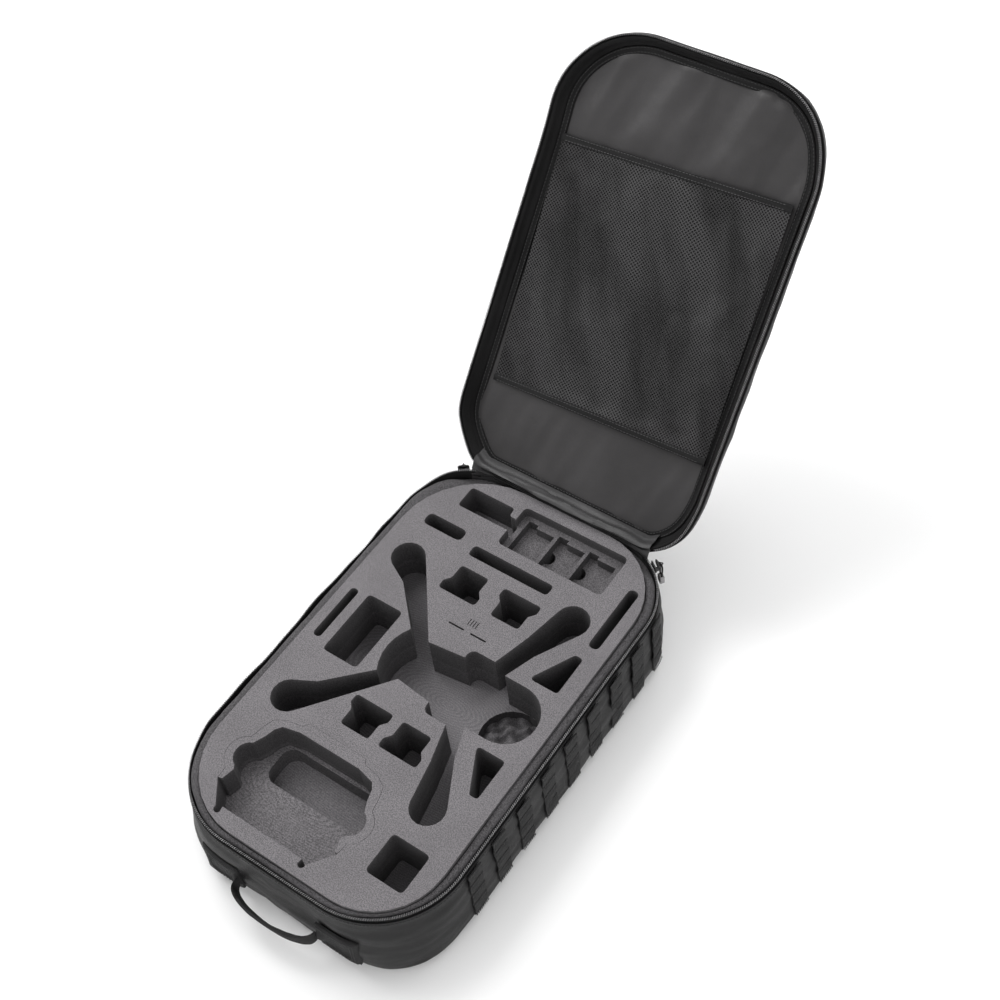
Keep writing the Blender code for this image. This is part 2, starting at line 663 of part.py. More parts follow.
for side, word in ((-1, "left"), (1, "right")):
    slider = box(
        "zip_slider_" + word, (-8 * MM, -4 * MM, -5.5 * MM), (8 * MM, 4 * MM, 5.5 * MM), METAL, bevel=1.5 * MM)
    turned(slider, side, on_corner(side, SLIDER_OUTSET, SLIDER_Z))
    eye = plate("slider_eye_" + word, [block(-3.2, 3.2, -2.9, 2.9), block(-2.0, 2.0, -1.7, 1.7)],
                -1.0 * MM, 1.0 * MM, None, cutters)
    stand = Matrix(((0, 0, 1, 0), (1, 0, 0, 0), (0, 1, 0, 0), (0, 0, 0, 1)))
    eye.data.transform(stand)
    turned(eye, side, on_corner(side, PULL_OUTSET, PULL_Z))
    boolean(slider, eye, "UNION")
    pivot = on_corner(side, PULL_OUTSET, PULL_Z)
    loop = bpy.data.objects.new("pull_cord_" + word, pull_loop("pull_cord_" + word))
    loop.data.materials.append(TAPE)
    parts.objects.link(loop)
    turned(loop, side, pivot)
    end = box("pull_end_" + word, (-5.5 * MM, -3.2 * MM, -38 * MM), (5.5 * MM, 3.2 * MM, -25.3 * MM), RUBBER,
              bevel=1.4 * MM)
    turned(end, side, pivot)


# ------------------------------------------------------------------ lid, drawn shut
lid_axis = bpy.data.objects.new("lid_axis", None)
lid_axis.location = (0, HINGE_Y, HINGE_Z)
parts.objects.link(lid_axis)
shut_objects = set(parts.objects)


def lid_ring(inset, height):
    return [(x, y, height) for x, y in lid_outline(inset)]


def lid_rings(wall):
    """The lid shell's surface at a depth inside the outer one, from the rim to the back."""
    rings = []
    for degrees in (0, 15, 30, 45, 60, 75, 88):
        angle = math.radians(degrees)
        inset = wall + (LID_CROWN_INSET - wall) * (1 - math.cos(angle))
        rings.append(lid_ring(inset, LID_RIM + (LID_BACK - wall - LID_RIM) * math.sin(angle)))
    return rings


skin("lid_shell", list(reversed(lid_rings(0))) + lid_rings(SHELL_WALL), SHELL)
plate("lid_stiffener", [lid_outline(25 * MM)], 167.4 * MM, 169.6 * MM, BOARD)
plate("lid_panel_foam", [lid_outline(18.5 * MM)], LINING_Z + 1.8 * MM, 167 * MM, DARK_FOAM)
around("lid_wall_foam", lid_outline, [
    (5.2 * MM, 140.0 * MM), (5.4 * MM, 149.3 * MM), (12.3 * MM, 149.3 * MM)], DARK_FOAM)
plate("lid_lining", [lid_outline(LINING_INSET)], LINING_Z, LINING_Z + 1.4 * MM, LINING)
around("lid_facing", lid_outline, [
    (4.2 * MM, 135.0 * MM), (13.7 * MM, 148.2 * MM), (13.7 * MM, 149.6 * MM), (4.2 * MM, 136.4 * MM)], TAPE)
around("lid_binding", lid_outline, upright(14.2 * MM, 24 * MM, 148.2 * MM, 149.6 * MM), TAPE)
lid_coil_low = ZIP_PLANE + 0.2 * MM
zip_half("lid", lid_coil_low, lid_coil_low + COIL_HEIGHT + GAP, 138 * MM, LID_ZIP_END)

# The mesh pocket isn't quite square: the lid's sides are drawn in unevenly where it is sewn.
POCKET_TOP_LEFT, POCKET_TOP_RIGHT = Vector((-165.6, -155.9)) * MM, Vector((156.3, -172.3)) * MM
POCKET_FOOT_LEFT, POCKET_FOOT_RIGHT = Vector((-155.0, 176.1)) * MM, Vector((163.0, 162.9)) * MM
MESH_Z = 143 * MM
POCKET_FOOT_Z = LINING_Z - 0.4 * MM


def pocket_patch(name, across, down, low, high, finish):
    """A flat piece of the pocket, between fractions of its width and of its depth."""
    outline = []
    for u, v in ((across[0], down[0]), (across[1], down[0]), (across[1], down[1]), (across[0], down[1])):
        left = POCKET_TOP_LEFT.lerp(POCKET_FOOT_LEFT, v)
        outline.append(left.lerp(POCKET_TOP_RIGHT.lerp(POCKET_FOOT_RIGHT, v), u)[:])
    plate(name, [outline], low, high, finish)


pocket_patch("pocket_side_strip_left", (0, 0.022), (0, 1), MESH_Z + 1.1 * MM, POCKET_FOOT_Z, TAPE)
pocket_patch("pocket_side_strip_right", (0.978, 1), (0, 1), MESH_Z + 1.1 * MM, POCKET_FOOT_Z, TAPE)
pocket_patch("pocket_bottom_binding", (0.0235, 0.9765), (0.97, 1), MESH_Z, POCKET_FOOT_Z, TAPE)
pocket_patch("pocket_mesh", (0, 1), (0.031, 0.969), MESH_Z, MESH_Z + 0.8 * MM, MESH)
pocket_patch("pocket_top_binding", (0, 1), (0, 0.03), MESH_Z - 0.2 * MM, MESH_Z + 0.8 * MM, TAPE)

for made in set(parts.objects) - shut_objects:
    made.data.transform(Matrix.Translation((0, -HINGE_Y, -HINGE_Z)))
    made.parent = lid_axis
lid_axis.rotation_euler = (math.radians(-OPEN_ANGLE), 0, 0)
bpy.context.view_layer.update()
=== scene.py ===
"""The drone carrying case's looks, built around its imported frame.

Heights, insets and outlines repeat the CAD's, in metres. A piece of the lid is drawn shut and then
swung open about the hinge line, as the CAD's lid is.
"""
import math

import bmesh
import bpy
from mathutils import Matrix, Vector, noise


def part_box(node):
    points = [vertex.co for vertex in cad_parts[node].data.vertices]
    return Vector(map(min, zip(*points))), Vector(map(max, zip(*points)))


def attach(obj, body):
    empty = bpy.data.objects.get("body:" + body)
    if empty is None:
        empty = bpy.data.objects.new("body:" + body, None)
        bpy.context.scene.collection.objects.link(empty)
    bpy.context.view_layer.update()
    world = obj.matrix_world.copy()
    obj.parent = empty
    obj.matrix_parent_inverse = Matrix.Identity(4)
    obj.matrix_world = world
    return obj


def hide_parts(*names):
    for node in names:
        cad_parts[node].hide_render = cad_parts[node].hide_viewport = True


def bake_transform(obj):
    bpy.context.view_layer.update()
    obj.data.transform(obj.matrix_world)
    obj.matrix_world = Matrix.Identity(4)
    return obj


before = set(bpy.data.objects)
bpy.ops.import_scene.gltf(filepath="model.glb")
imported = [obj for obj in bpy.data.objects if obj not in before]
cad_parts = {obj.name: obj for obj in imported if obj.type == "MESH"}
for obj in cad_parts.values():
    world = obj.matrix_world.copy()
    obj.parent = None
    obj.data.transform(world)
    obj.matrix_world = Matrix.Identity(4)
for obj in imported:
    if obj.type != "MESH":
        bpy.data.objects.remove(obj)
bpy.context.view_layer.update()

MM = 0.001
HALF_W, HALF_L = 190.5 * MM, 304.5 * MM
RIM_RADIUS, HINGE_RADIUS, FOOT_RADIUS, FOOT_FILLET = 118 * MM, 100 * MM, 92 * MM, 14 * MM
SHELL_TOP, ZIP_PLANE = 116 * MM, 126.2 * MM
FOAM_LEFT, FOAM_RIGHT, FOAM_HALF_L, FOAM_TOP = -170.7 * MM, 175.3 * MM, 293.1 * MM, 134 * MM
FOAM_CORNERS = (92 * MM, 97 * MM, 117 * MM, 104 * MM)
HINGE_Y, HINGE_Z, OPEN_ANGLE = 295 * MM, 135.6 * MM, 128.7
LID_FAR_Y, LID_RIM, LID_BACK, LID_CROWN_INSET = 297 * MM, 136.4 * MM, 174.2 * MM, 30 * MM
LINING_Z, LINING_INSET = 150 * MM, 14.5 * MM
BASE_ZIP_END, LID_ZIP_END = 67.5, 56.25
SLIDER_ANGLE, SLIDER_Z, PULL_Z = 54, 127 * MM, 128 * MM
OPENED = (
    Matrix.Translation((0, HINGE_Y, HINGE_Z))
    @ Matrix.Rotation(math.radians(-OPEN_ANGLE), 4, "X")
    @ Matrix.Translation((0, -HINGE_Y, -HINGE_Z))
)


# ------------------------------------------------------------------ camera, light and floor
def set_up_stage():
    scene = bpy.context.scene
    camera_data = bpy.data.cameras.new("camera")
    camera_data.lens = 57.59
    camera_data.sensor_width = 36
    camera = bpy.data.objects.new("camera", camera_data)
    right = Vector((0.81597208, 0.57217187, -0.08251611))
    down = Vector((0.41246975, -0.67624719, -0.61037566))
    ahead = Vector((-0.40504107, 0.4640141, -0.78780241))
    camera.matrix_world = Matrix((
        (right.x, -down.x, -ahead.x, 0.7774),
        (right.y, -down.y, -ahead.y, -0.7105),
        (right.z, -down.z, -ahead.z, 1.794),
        (0, 0, 0, 1)))
    scene.collection.objects.link(camera)
    scene.camera = camera

    world = bpy.data.worlds.new("studio")
    world.use_nodes = True
    world.node_tree.nodes["Background"].inputs["Color"].default_value = (1, 1, 1, 1)
    world.node_tree.nodes["Background"].inputs["Strength"].default_value = 0.72
    scene.world = world
    scene.view_settings.view_transform = "Standard"

    def soft_box(name, place, aim, size, power):
        data = bpy.data.lights.new(name, "AREA")
        data.shape = "RECTANGLE"
        data.size, data.size_y = size
        data.energy = power
        lamp = bpy.data.objects.new(name, data)
        lamp.location = place
        lamp.rotation_euler = (Vector(aim) - Vector(place)).to_track_quat("-Z", "Y").to_euler()
        scene.collection.objects.link(lamp)

    soft_box("key_light", (-1.5, 0.2, 2.3), (0, 0.1, 0.1), (1.6, 1.6), 48)
    soft_box("fill_light", (1.8, -1.2, 1.4), (0, 0.1, 0.15), (1.4, 1.4), 13)
    soft_box("top_light", (0.1, 1.7, 2.2), (0, 0.3, 0.2), (1.8, 1.2), 22)

    floor_mesh = bpy.data.meshes.new("floor")
    floor_mesh.from_pydata([(-6, -6, 0), (6, -6, 0), (6, 6, 0), (-6, 6, 0)], [], [(0, 1, 2, 3)])
    floor = bpy.data.objects.new("floor", floor_mesh)
    floor.location.z = -0.5 * MM
    scene.collection.objects.link(floor)
    paper = bpy.data.materials.new("pale_floor")
    paper.use_nodes = True
    paper.node_tree.nodes["Principled BSDF"].inputs["Base Color"].default_value = (0.92, 0.92, 0.92, 1)
    paper.node_tree.nodes["Principled BSDF"].inputs["Roughness"].default_value = 0.9
    floor_mesh.materials.append(paper)


set_up_stage()


# ------------------------------------------------------------------ materials
def new_material(name, roughness, sheen=0.0, metallic=0.0, specular=0.5):
    made = bpy.data.materials.new(name)
    made.use_nodes = True
    shader = made.node_tree.nodes["Principled BSDF"]
    for socket, value in (("Roughness", roughness), ("Metallic", metallic), ("Specular IOR Level", specular),
                          ("Sheen Weight", sheen), ("Sheen Roughness", 0.5)):
        shader.inputs[socket].default_value = value
    return made, made.node_tree, shader


def node(tree, kind, feeds=None, **values):
    """A shader node: values are its settings or its inputs, From_Min for From Min, and feeds are links into it."""
    made = tree.nodes.new("ShaderNode" + kind)
    for key, value in values.items():
        socket = key.replace("_", " ")
        if socket in made.inputs:
            made.inputs[socket].default_value = value
        else:
            setattr(made, key, value)
    for socket, source in (feeds or {}).items():
        tree.links.new(source, made.inputs[socket])
    return made


def place_of(tree, **values):
    """Object coordinates in metres, mapped by values."""
    return node(tree, "Mapping", {"Vector": node(tree, "TexCoord").outputs["Object"]}, **values).outputs["Vector"]


def axis_of(tree, vector, axis):
    return node(tree, "SeparateXYZ", {"Vector": vector}).outputs[axis]


def ranged(tree, value, start=(0, 1), end=(0, 1)):
    """A value carried from one range to another and kept inside it."""
    (low, high), (least, most) = start, end
    made = node(tree, "MapRange", {"Value": value}, From_Min=low, From_Max=high, To_Min=least, To_Max=most)
    return made.outputs["Result"]


def combined(tree, operation, first, second):
    return node(tree, "Math", {0: first, 1: second}, operation=operation).outputs[0]


def times(tree, first, second):
    mix = node(tree, "Mix", {6: first, 7: second}, data_type="RGBA", blend_type="MULTIPLY")
    mix.inputs[0].default_value = 1
    return mix.outputs[2]


def grain(tree, scale, detail, vector=None):
    return node(tree, "TexNoise", {"Vector": vector or place_of(tree)}, Scale=scale, Detail=detail).outputs["Fac"]


def blotches(tree, height, low, high, spread=(0.35, 0.65)):
    """The colour between two that a noise gives."""
    ramp = node(tree, "ValToRGB", {"Fac": height})
    for element, position, colour in zip(ramp.color_ramp.elements, spread, (low, high)):
        element.position, element.color = position, (*colour, 1)
    return ramp.outputs["Color"]


def waves(tree, vector, pitch, **values):
    return node(tree, "TexWave", {"Vector": vector}, Scale=0.314 / pitch, **values).outputs["Fac"]


def bump(tree, shader, height, strength, distance, under=None):
    made = node(tree, "Bump", {"Height": height}, Strength=strength, Distance=distance)
    if under:
        tree.links.new(under, made.inputs["Normal"])
    tree.links.new(made.outputs["Normal"], shader.inputs["Normal"])
    return made.outputs["Normal"]


def grey(value, warm=0.0):
    return (value * 1.012 + warm, value * 0.99, value * 1.014)


def by_height(tree, stops):
    """A grey factor that changes with height: stops are (height in metres, factor), lowest first."""
    low, high = stops[0][0], stops[-1][0]
    height = axis_of(tree, node(tree, "TexCoord").outputs["Object"], "Z")
    ramp = node(tree, "ValToRGB", {"Fac": ranged(tree, height, (low, high))})
    for height, _ in stops[1:-1]:
        ramp.color_ramp.elements.new((height - low) / (high - low))
    for element, (_, factor) in zip(ramp.color_ramp.elements, stops):
        element.color = (factor, factor, factor, 1)
    return ramp.outputs["Color"]


def foam_material(name, low, high, wall=1.0, painted_shade_heights=None, tool_lines=None):
    """Cut closed-cell foam: dark and pale specks, a faint cell relief, and the cutter's marks if asked.

    wall is painted shade: how much darker an upright cut face is drawn than a level one, for the light that falls
    from above. painted_shade_heights are stops for by_height: painted shade that darkens the foam partway down its
    cavities and in the egg-crate pad's dips.
    tool_lines is (low, high, centre, stretch): between those heights the cutter left fine ring lines.
    """
    made, tree, shader = new_material(name, 0.93, sheen=0.05, specular=0.2)
    broad = blotches(tree, grain(tree, 14, 2), grey(0.95), grey(1.05))
    cells = node(tree, "TexVoronoi", {"Vector": place_of(tree)}, Scale=700, Randomness=1.0)
    fine = grain(tree, 820, 2)
    colour = times(tree, broad, blotches(tree, fine, low, high, (0.37, 0.63)))
    relief = bump(tree, shader, cells.outputs["Distance"], 0.3, 0.4 * MM)
    relief = bump(tree, shader, fine, 0.4, 0.4 * MM, relief)
    # painted shade: upright cut faces are drawn darker than level ones, for the light that falls from above
    if wall < 1:
        level = axis_of(tree, node(tree, "NewGeometry").outputs["Normal"], "Z")
        colour = times(tree, colour, ranged(tree, level, (0.2, 0.8), (wall, 1.0)))
    # painted shade by height: the colour is darkened at the given levels, down in recesses
    if painted_shade_heights:
        colour = times(tree, colour, by_height(tree, painted_shade_heights))
    if tool_lines:
        floor, ceiling, centre, stretch = tool_lines
        moved = place_of(tree, Location=(-centre[0] * stretch, -centre[1], 0), Scale=(stretch, 1, 1))
        lines = waves(tree, moved, 3 * MM, wave_type="RINGS", rings_direction="Z", Detail=2.0, Distortion=3.0,
                      Detail_Scale=0.2)
        within = by_height(tree, [(floor - 1 * MM, 0), (floor, 1), (ceiling, 1), (ceiling + 1 * MM, 0)])
        marked = combined(tree, "MULTIPLY", lines, within)
        colour = times(tree, colour, ranged(tree, marked, end=(1.04, 0.84)))
        bump(tree, shader, marked, 0.25, 0.5 * MM, relief)
    tree.links.new(colour, shader.inputs["Base Color"])
    return made


def weave_material(name, low, high, roughness, pitch, strength, specular):
    """Woven cloth: crossing waves give the yarns, broad noises give uneven colour, creases and gloss."""
    made, tree, shader = new_material(name, roughness, specular=specular)
    colour = blotches(tree, grain(tree, 9, 4), low, high)
    spot = place_of(tree, Rotation=(math.radians(45), math.radians(45), math.radians(45)))
    yarns = [waves(tree, spot, pitch, wave_type="BANDS", bands_direction=axis) for axis in "XYZ"]
    total = combined(tree, "ADD", combined(tree, "ADD", yarns[0], yarns[1]), yarns[2])
    tone = ranged(tree, total, (0.4, 2.6), (0.75, 1.2))
    tree.links.new(times(tree, colour, tone), shader.inputs["Base Color"])
    creases = bump(tree, shader, grain(tree, 55, 5), 0.25, 1.5 * MM)
    bump(tree, shader, total, strength, pitch * 0.4, creases)
    gloss = ranged(tree, grain(tree, 16, 5), end=(roughness - 0.09, roughness + 0.12))
    tree.links.new(gloss, shader.inputs["Roughness"])
    return made


def rib_material(name, low, high, roughness, pitch, strength=0.6, sheen=0.0):
    """Tape or webbing: level ribs with a fine grain."""
    made, tree, shader = new_material(name, roughness, sheen=sheen, specular=0.18)
    tree.links.new(blotches(tree, grain(tree, 30, 4), low, high), shader.inputs["Base Color"])
    ribs = waves(tree, place_of(tree), pitch, wave_type="BANDS", bands_direction="Z", Distortion=0.6)
    relief = bump(tree, shader, ribs, strength, pitch * 0.5)
    bump(tree, shader, grain(tree, 900, 2), 0.4, 0.3 * MM, relief)
    return made


def mesh_material(name, pitch=3.5 * MM):
    """Knitted pocket mesh: paler crossing threads, and in each hole between them a dark, partly clear fill that is
    painted shade for the shadowed lining seen through it.

    Painted fold shade runs in bands along the net's folds.
    """
    made, tree, shader = new_material(name, 0.55, specular=0.2)
    cloth = node(tree, "UVMap", uv_map="cloth").outputs["UV"]
    # painted shade of the folds: a broad noise stretched along them darkens the net in bands
    painted_fold_shade_place = node(tree, "Mapping", {"Vector": cloth}, vector_type="TEXTURE", Scale=(1 / 17, 1 / 4.5, 1),
                       Rotation=(0, 0, math.radians(-26.6)))
    bands = grain(tree, 1, 2, painted_fold_shade_place.outputs["Vector"])
    colour = blotches(tree, bands, grey(0.021), grey(0.052), (0.37, 0.63))
    turned_cloth = node(tree, "Mapping", {"Vector": cloth}, Rotation=(0, 0, math.radians(52)),
                        Scale=(1 / pitch, 1 / pitch, 1)).outputs["Vector"]
    threads = []
    for axis in "XY":
        fold = node(tree, "Math", {0: axis_of(tree, turned_cloth, axis)}, operation="PINGPONG")
        fold.inputs[1].default_value = 0.5
        threads.append(fold.outputs[0])
    solid = ranged(tree, combined(tree, "MINIMUM", *threads), (0.2, 0.14))
    # painted shade: each hole gets a dark, partly clear fill for the shadowed lining seen through it
    shade = ranged(tree, solid, end=(0.12, 1))
    tree.links.new(times(tree, colour, shade), shader.inputs["Base Color"])
    tree.links.new(ranged(tree, solid, end=(0.72, 1)), shader.inputs["Alpha"])
    bump(tree, shader, solid, 0.5, 0.5 * MM)
    return made


def plain_material(name, low, high, roughness, metallic=0.0):
    made, tree, shader = new_material(name, roughness, metallic=metallic)
    fine = grain(tree, 300, 4)
    tree.links.new(blotches(tree, fine, low, high), shader.inputs["Base Color"])
    bump(tree, shader, fine, 0.2, 0.2 * MM)
    return made


# painted shade: FOAM is drawn darker between 99 and 126 mm, partway down its cavities
# painted shade: wall=0.46 draws the upright faces of both cut foams darker than their level faces
FOAM = foam_material("cut_foam", grey(0.080), grey(0.185, 0.002), wall=0.46, painted_shade_heights=[
    (0.094, 1), (0.099, 0.7), (0.126, 0.7), (0.132, 1)], tool_lines=(85 * MM, 92 * MM, (-34 * MM, -205 * MM), 0.3))
FOAM_FLOOR = foam_material("cut_foam_floor", grey(0.118), grey(0.205), wall=0.46, tool_lines=(
    59 * MM, 67 * MM, (20 * MM, 7.6 * MM), 0.4))
# painted shade: the egg-crate pad is drawn darker down in its dips, 0.35 at their bottom
DARK_FOAM = foam_material("egg_crate_foam", grey(0.11), grey(0.24), painted_shade_heights=[
    (0.047, 0.35), (0.052, 0.7), (0.0575, 1)])
WALL_FOAM = foam_material("wall_foam", grey(0.026), grey(0.105))
SHELL = weave_material("coated_shell_cloth", grey(0.008), grey(0.015), 0.44, 0.9 * MM, 0.25, 0.18)
LINING = weave_material("coated_lining_cloth", grey(0.029, 0.001), grey(0.042, 0.001), 0.4, 0.7 * MM, 0.1, 0.3)
TAPE = rib_material("zip_tape_cloth", grey(0.008), grey(0.014), 0.75, 1.2 * MM)
EDGE_TAPE = weave_material("binding_tape", grey(0.008), grey(0.014), 0.6, 0.8 * MM, 0.5, 0.16)
STRAP = rib_material("strap_webbing", grey(0.011), grey(0.022), 0.62, 1.5 * MM, 0.8, sheen=0.02)
GUSSET = weave_material("gusset_cloth", grey(0.032), grey(0.052), 0.45, 0.7 * MM, 0.15, 0.35)
POCKET = mesh_material("pocket_net")
TEETH = plain_material("nylon_teeth", grey(0.12), grey(0.28), 0.25)
METAL = plain_material("dark_slider", grey(0.02), grey(0.05), 0.36, 0.7)
RUBBER = plain_material("grey_pull_end", grey(0.22), grey(0.3), 0.5)
THREAD = plain_material("thread", grey(0.02), grey(0.035), 0.6)
CORD = rib_material("pull_cord_cloth", grey(0.01), grey(0.02), 0.7, 0.9 * MM)
BOARD = plain_material("stiffener", grey(0.02), grey(0.03), 0.6)


# ------------------------------------------------------------------ outlines in plan
def in_mm(rows):
    return [tuple(value * MM for value in row) for row in rows]


def turn_of(index, count):
    return 2 * math.pi * index / count


def signed_power(value, power):
    """Squares off a sine or a cosine when the power is below 1."""
    return math.copysign(abs(value) ** power, value)


def arc(x, y, radius, start, end, steps):
    points = []
    for index in range(steps + 1):
        angle = math.radians(start + (end - start) * index / steps)
        points.append((x + radius * math.cos(angle), y + radius * math.sin(angle)))
    return points


def rounded(half_w, half_l, radii, corner=20, short=14, long=44):
    """A finely divided rectangle with round corners: near right, far right, far left, near left."""
    corners = []
    for index, ((sign_x, sign_y), radius) in enumerate(zip(((1, -1), (1, 1), (-1, 1), (-1, -1)), radii)):
        x, y = sign_x * (half_w - radius), sign_y * (half_l - radius)
        corners.append(arc(x, y, radius, 90 * index - 90, 90 * index, corner))
    points = []
    for index, bend in enumerate(corners):
        points += bend
        ahead = corners[(index + 1) % 4][0]
        steps = long if index % 2 == 0 else short
        for step in range(1, steps):
            share = step / steps
            points.append(tuple(a + (b - a) * share for a, b in zip(bend[-1], ahead)))
    return points


def corner_radii(inset, share=1):
    """The case's corners in plan: alike at the floor, where the share is 0, tighter at the hinge end at the zip."""
    near, far = [FOOT_RADIUS + (radius - FOOT_RADIUS) * share - inset for radius in (RIM_RADIUS, HINGE_RADIUS)]
    return [near, far, far, near]


def case_outline(inset):
    return rounded(HALF_W - inset, HALF_L - inset, corner_radii(inset))


def lid_outline(inset):
    return [(x, min(y, LID_FAR_Y - inset)) for x, y in case_outline(inset)]


def zip_path(inset, end_angle, step):
    """Evenly spaced points along the zip, from one hinge-end corner to the other."""
    near, far = RIM_RADIUS - inset, HINGE_RADIUS - inset
    x, y = HALF_W - RIM_RADIUS, HALF_L - RIM_RADIUS
    far_x, far_y = HALF_W - HINGE_RADIUS, HALF_L - HINGE_RADIUS
    coarse = arc(-far_x, far_y, far, 180 - end_angle, 180, 60)
    coarse += arc(-x, -y, near, 180, 270, 80)
    coarse += arc(x, -y, near, 270, 360, 80)
    coarse += arc(far_x, far_y, far, 0, end_angle, 60)
    return respaced(coarse, step)


def respaced(points, step):
    """The same open line with its points a constant distance apart."""
    points = [Vector(point) for point in points]
    lengths = [(b - a).length for a, b in zip(points, points[1:])]
    total = sum(lengths)
    count = max(2, round(total / step))
    placed, index, used = [], 0, 0.0
    for number in range(count + 1):
        target = total * number / count
        while index < len(lengths) - 1 and used + lengths[index] < target:
            used += lengths[index]
            index += 1
        share = (target - used) / lengths[index] if lengths[index] else 0
        placed.append(points[index].lerp(points[index + 1], min(max(share, 0), 1)))
    return placed


def corner_share(height):
    return min(max((height - FOOT_FILLET) / (105 * MM - FOOT_FILLET), 0), 1)


def corner_radius(height, at_hinge_end):
    return corner_radii(0, corner_share(height))[1 if at_hinge_end else 0]


def smooth(value):
    value = min(max(value, 0), 1)
    return value * value * (3 - 2 * value)


def rough(point, scale, seed, octaves=3):
    """Seeded fractal noise, about -1 to 1, stretched by a scale along each axis."""
    place = Vector(point[axis] * scale[axis] for axis in range(3)) + Vector((seed, seed * 1.7, seed * 2.3))
    return noise.fractal(place, 0.9, 2.0, octaves, noise_basis="PERLIN_ORIGINAL") * 1.6


# ------------------------------------------------------------------ meshes
def finish_mesh(name, shape, finish, angle=50):
    bmesh.ops.recalc_face_normals(shape, faces=shape.faces)
    data = bpy.data.meshes.new(name)
    shape.to_mesh(data)
    shape.free()
    data.materials.append(finish)
    data.shade_smooth()
    data.set_sharp_from_angle(angle=math.radians(angle))
    made = bpy.data.objects.new(name, data)
    bpy.context.scene.collection.objects.link(made)
    return made


def quads(shape, lower, upper):
    """Joins two closed rows of vertices."""
    for index in range(len(lower)):
        ahead = (index + 1) % len(lower)
        shape.faces.new((lower[index], lower[ahead], upper[ahead], upper[index]))


def skin(name, rings, finish, wrap=False):
    """Joins rings of equal length with quads, and closes both ends or joins the last ring to the first."""
    shape = bmesh.new()
    rows = [[shape.verts.new(point) for point in ring] for ring in rings]
    for lower, upper in zip(rows, rows[1:]):
        quads(shape, lower, upper)
    if wrap:
        quads(shape, rows[-1], rows[0])
    else:
        shape.faces.new(rows[0])
        shape.faces.new(rows[-1])
    return finish_mesh(name, shape, finish)


def loft(name, loops, finish, wrap=False):
    """The skin over lines that run the long way."""
    return skin(name, [list(section) for section in zip(*loops)], finish, wrap)


def swept(name, outline, profile, finish):
    """A closed profile of (inset, height) swept round a closed outline(inset)."""
    return loft(name, [[(x, y, height) for x, y in outline(inset)] for inset, height in profile], finish, wrap=True)


def resample(line, count):
    points = [Vector(p) for p in line]
    total = len(points) - 1
    placed = []
    for number in range(count):
        place = total * number / (count - 1)
        index = min(int(place), total - 1)
        placed.append(points[index].lerp(points[index + 1], place - index)[:])
    return placed


def shaped(made, move):
    """Moves each vertex along its normal by move(place, normal), in metres."""
    data = made.data
    normals = [vertex.normal.copy() for vertex in data.vertices]
    for vertex, normal in zip(data.vertices, normals):
        vertex.co += normal * move(vertex.co, normal)
    data.update()
    return made


def pushed(made, move):
    """Moves each vertex by the vector move(place)."""
    for vertex in made.data.vertices:
        vertex.co += Vector(move(vertex.co))
    made.data.update()
    return made


def drawn_in(point):
    """The lid's soft sides stand in a little along the middle, and its left hinge corner is slack."""
    side = math.copysign(1, point.x)
    strength = smooth((abs(point.x) - 60 * MM) / (110 * MM))
    start = -310 * MM if side > 0 else -235 * MM
    waist = smooth((point.y - start) / (100 * MM)) * smooth((285 * MM - point.y) / (70 * MM))
    corner = smooth((point.y - 225 * MM) / (45 * MM)) if side < 0 else 0
    drawn = 8 * MM if side > 0 else 4 * MM
    return (strength * (7 * MM * corner - side * drawn * waist), 0, 0)


def rim_slack(point):
    """The base's plain side bellies out in shallow waves, and its rim is drawn up where the zip ends."""
    most = 8.5 * MM if point.x < 0 else 3 * MM
    near_end = smooth((abs(point.x) - 108 * MM) / (26 * MM)) * smooth((point.y - 232 * MM) / (42 * MM))
    lift = most * near_end * smooth((point.z - 80 * MM) / (36 * MM))
    if point.x > 0:
        return (0, 0, lift)
    reach = smooth((point.z - 50 * MM) / (70 * MM)) * smooth((-point.x - 140 * MM) / (40 * MM))
    sway = 1.6 + 1.3 * math.sin(point.y / (27 * MM) + 0.8) + 0.5 * math.sin(point.y / (11 * MM))
    straight = smooth((270 * MM + point.y) / (80 * MM)) * smooth((190 * MM - point.y) / (60 * MM))
    return (-reach * sway * straight * MM, 0, lift)


def on(made, body, slot, *nodes):
    """Puts a piece on its body: a lid's piece is swung open first."""
    if body == "lid":
        pushed(made, drawn_in)
        made.data.transform(OPENED)
        made.data.update()
    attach(made, body)
    if nodes:
        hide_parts(*nodes)
    return made


def tube(name, points, radius, finish, sides=8, closed=False):
    """A round tube along points in space."""
    points = [Vector(p) for p in points]
    rings, count, frame_up = [], len(points), None
    for index, point in enumerate(points):
        before = points[index - 1] if index or closed else point
        after = points[(index + 1) % count] if index + 1 < count or closed else point
        ahead = (after - before).normalized()
        if frame_up is None:
            frame_up = Vector((0, 0, 1)) if abs(ahead.z) < 0.9 else Vector((1, 0, 0))
        side = ahead.cross(frame_up).normalized()
        frame_up = side.cross(ahead).normalized()
        rings.append([point + (side * math.cos(angle) + frame_up * math.sin(angle)) * radius
                      for angle in (turn_of(step, sides) for step in range(sides))])
    return skin(name, rings, finish, wrap=closed)


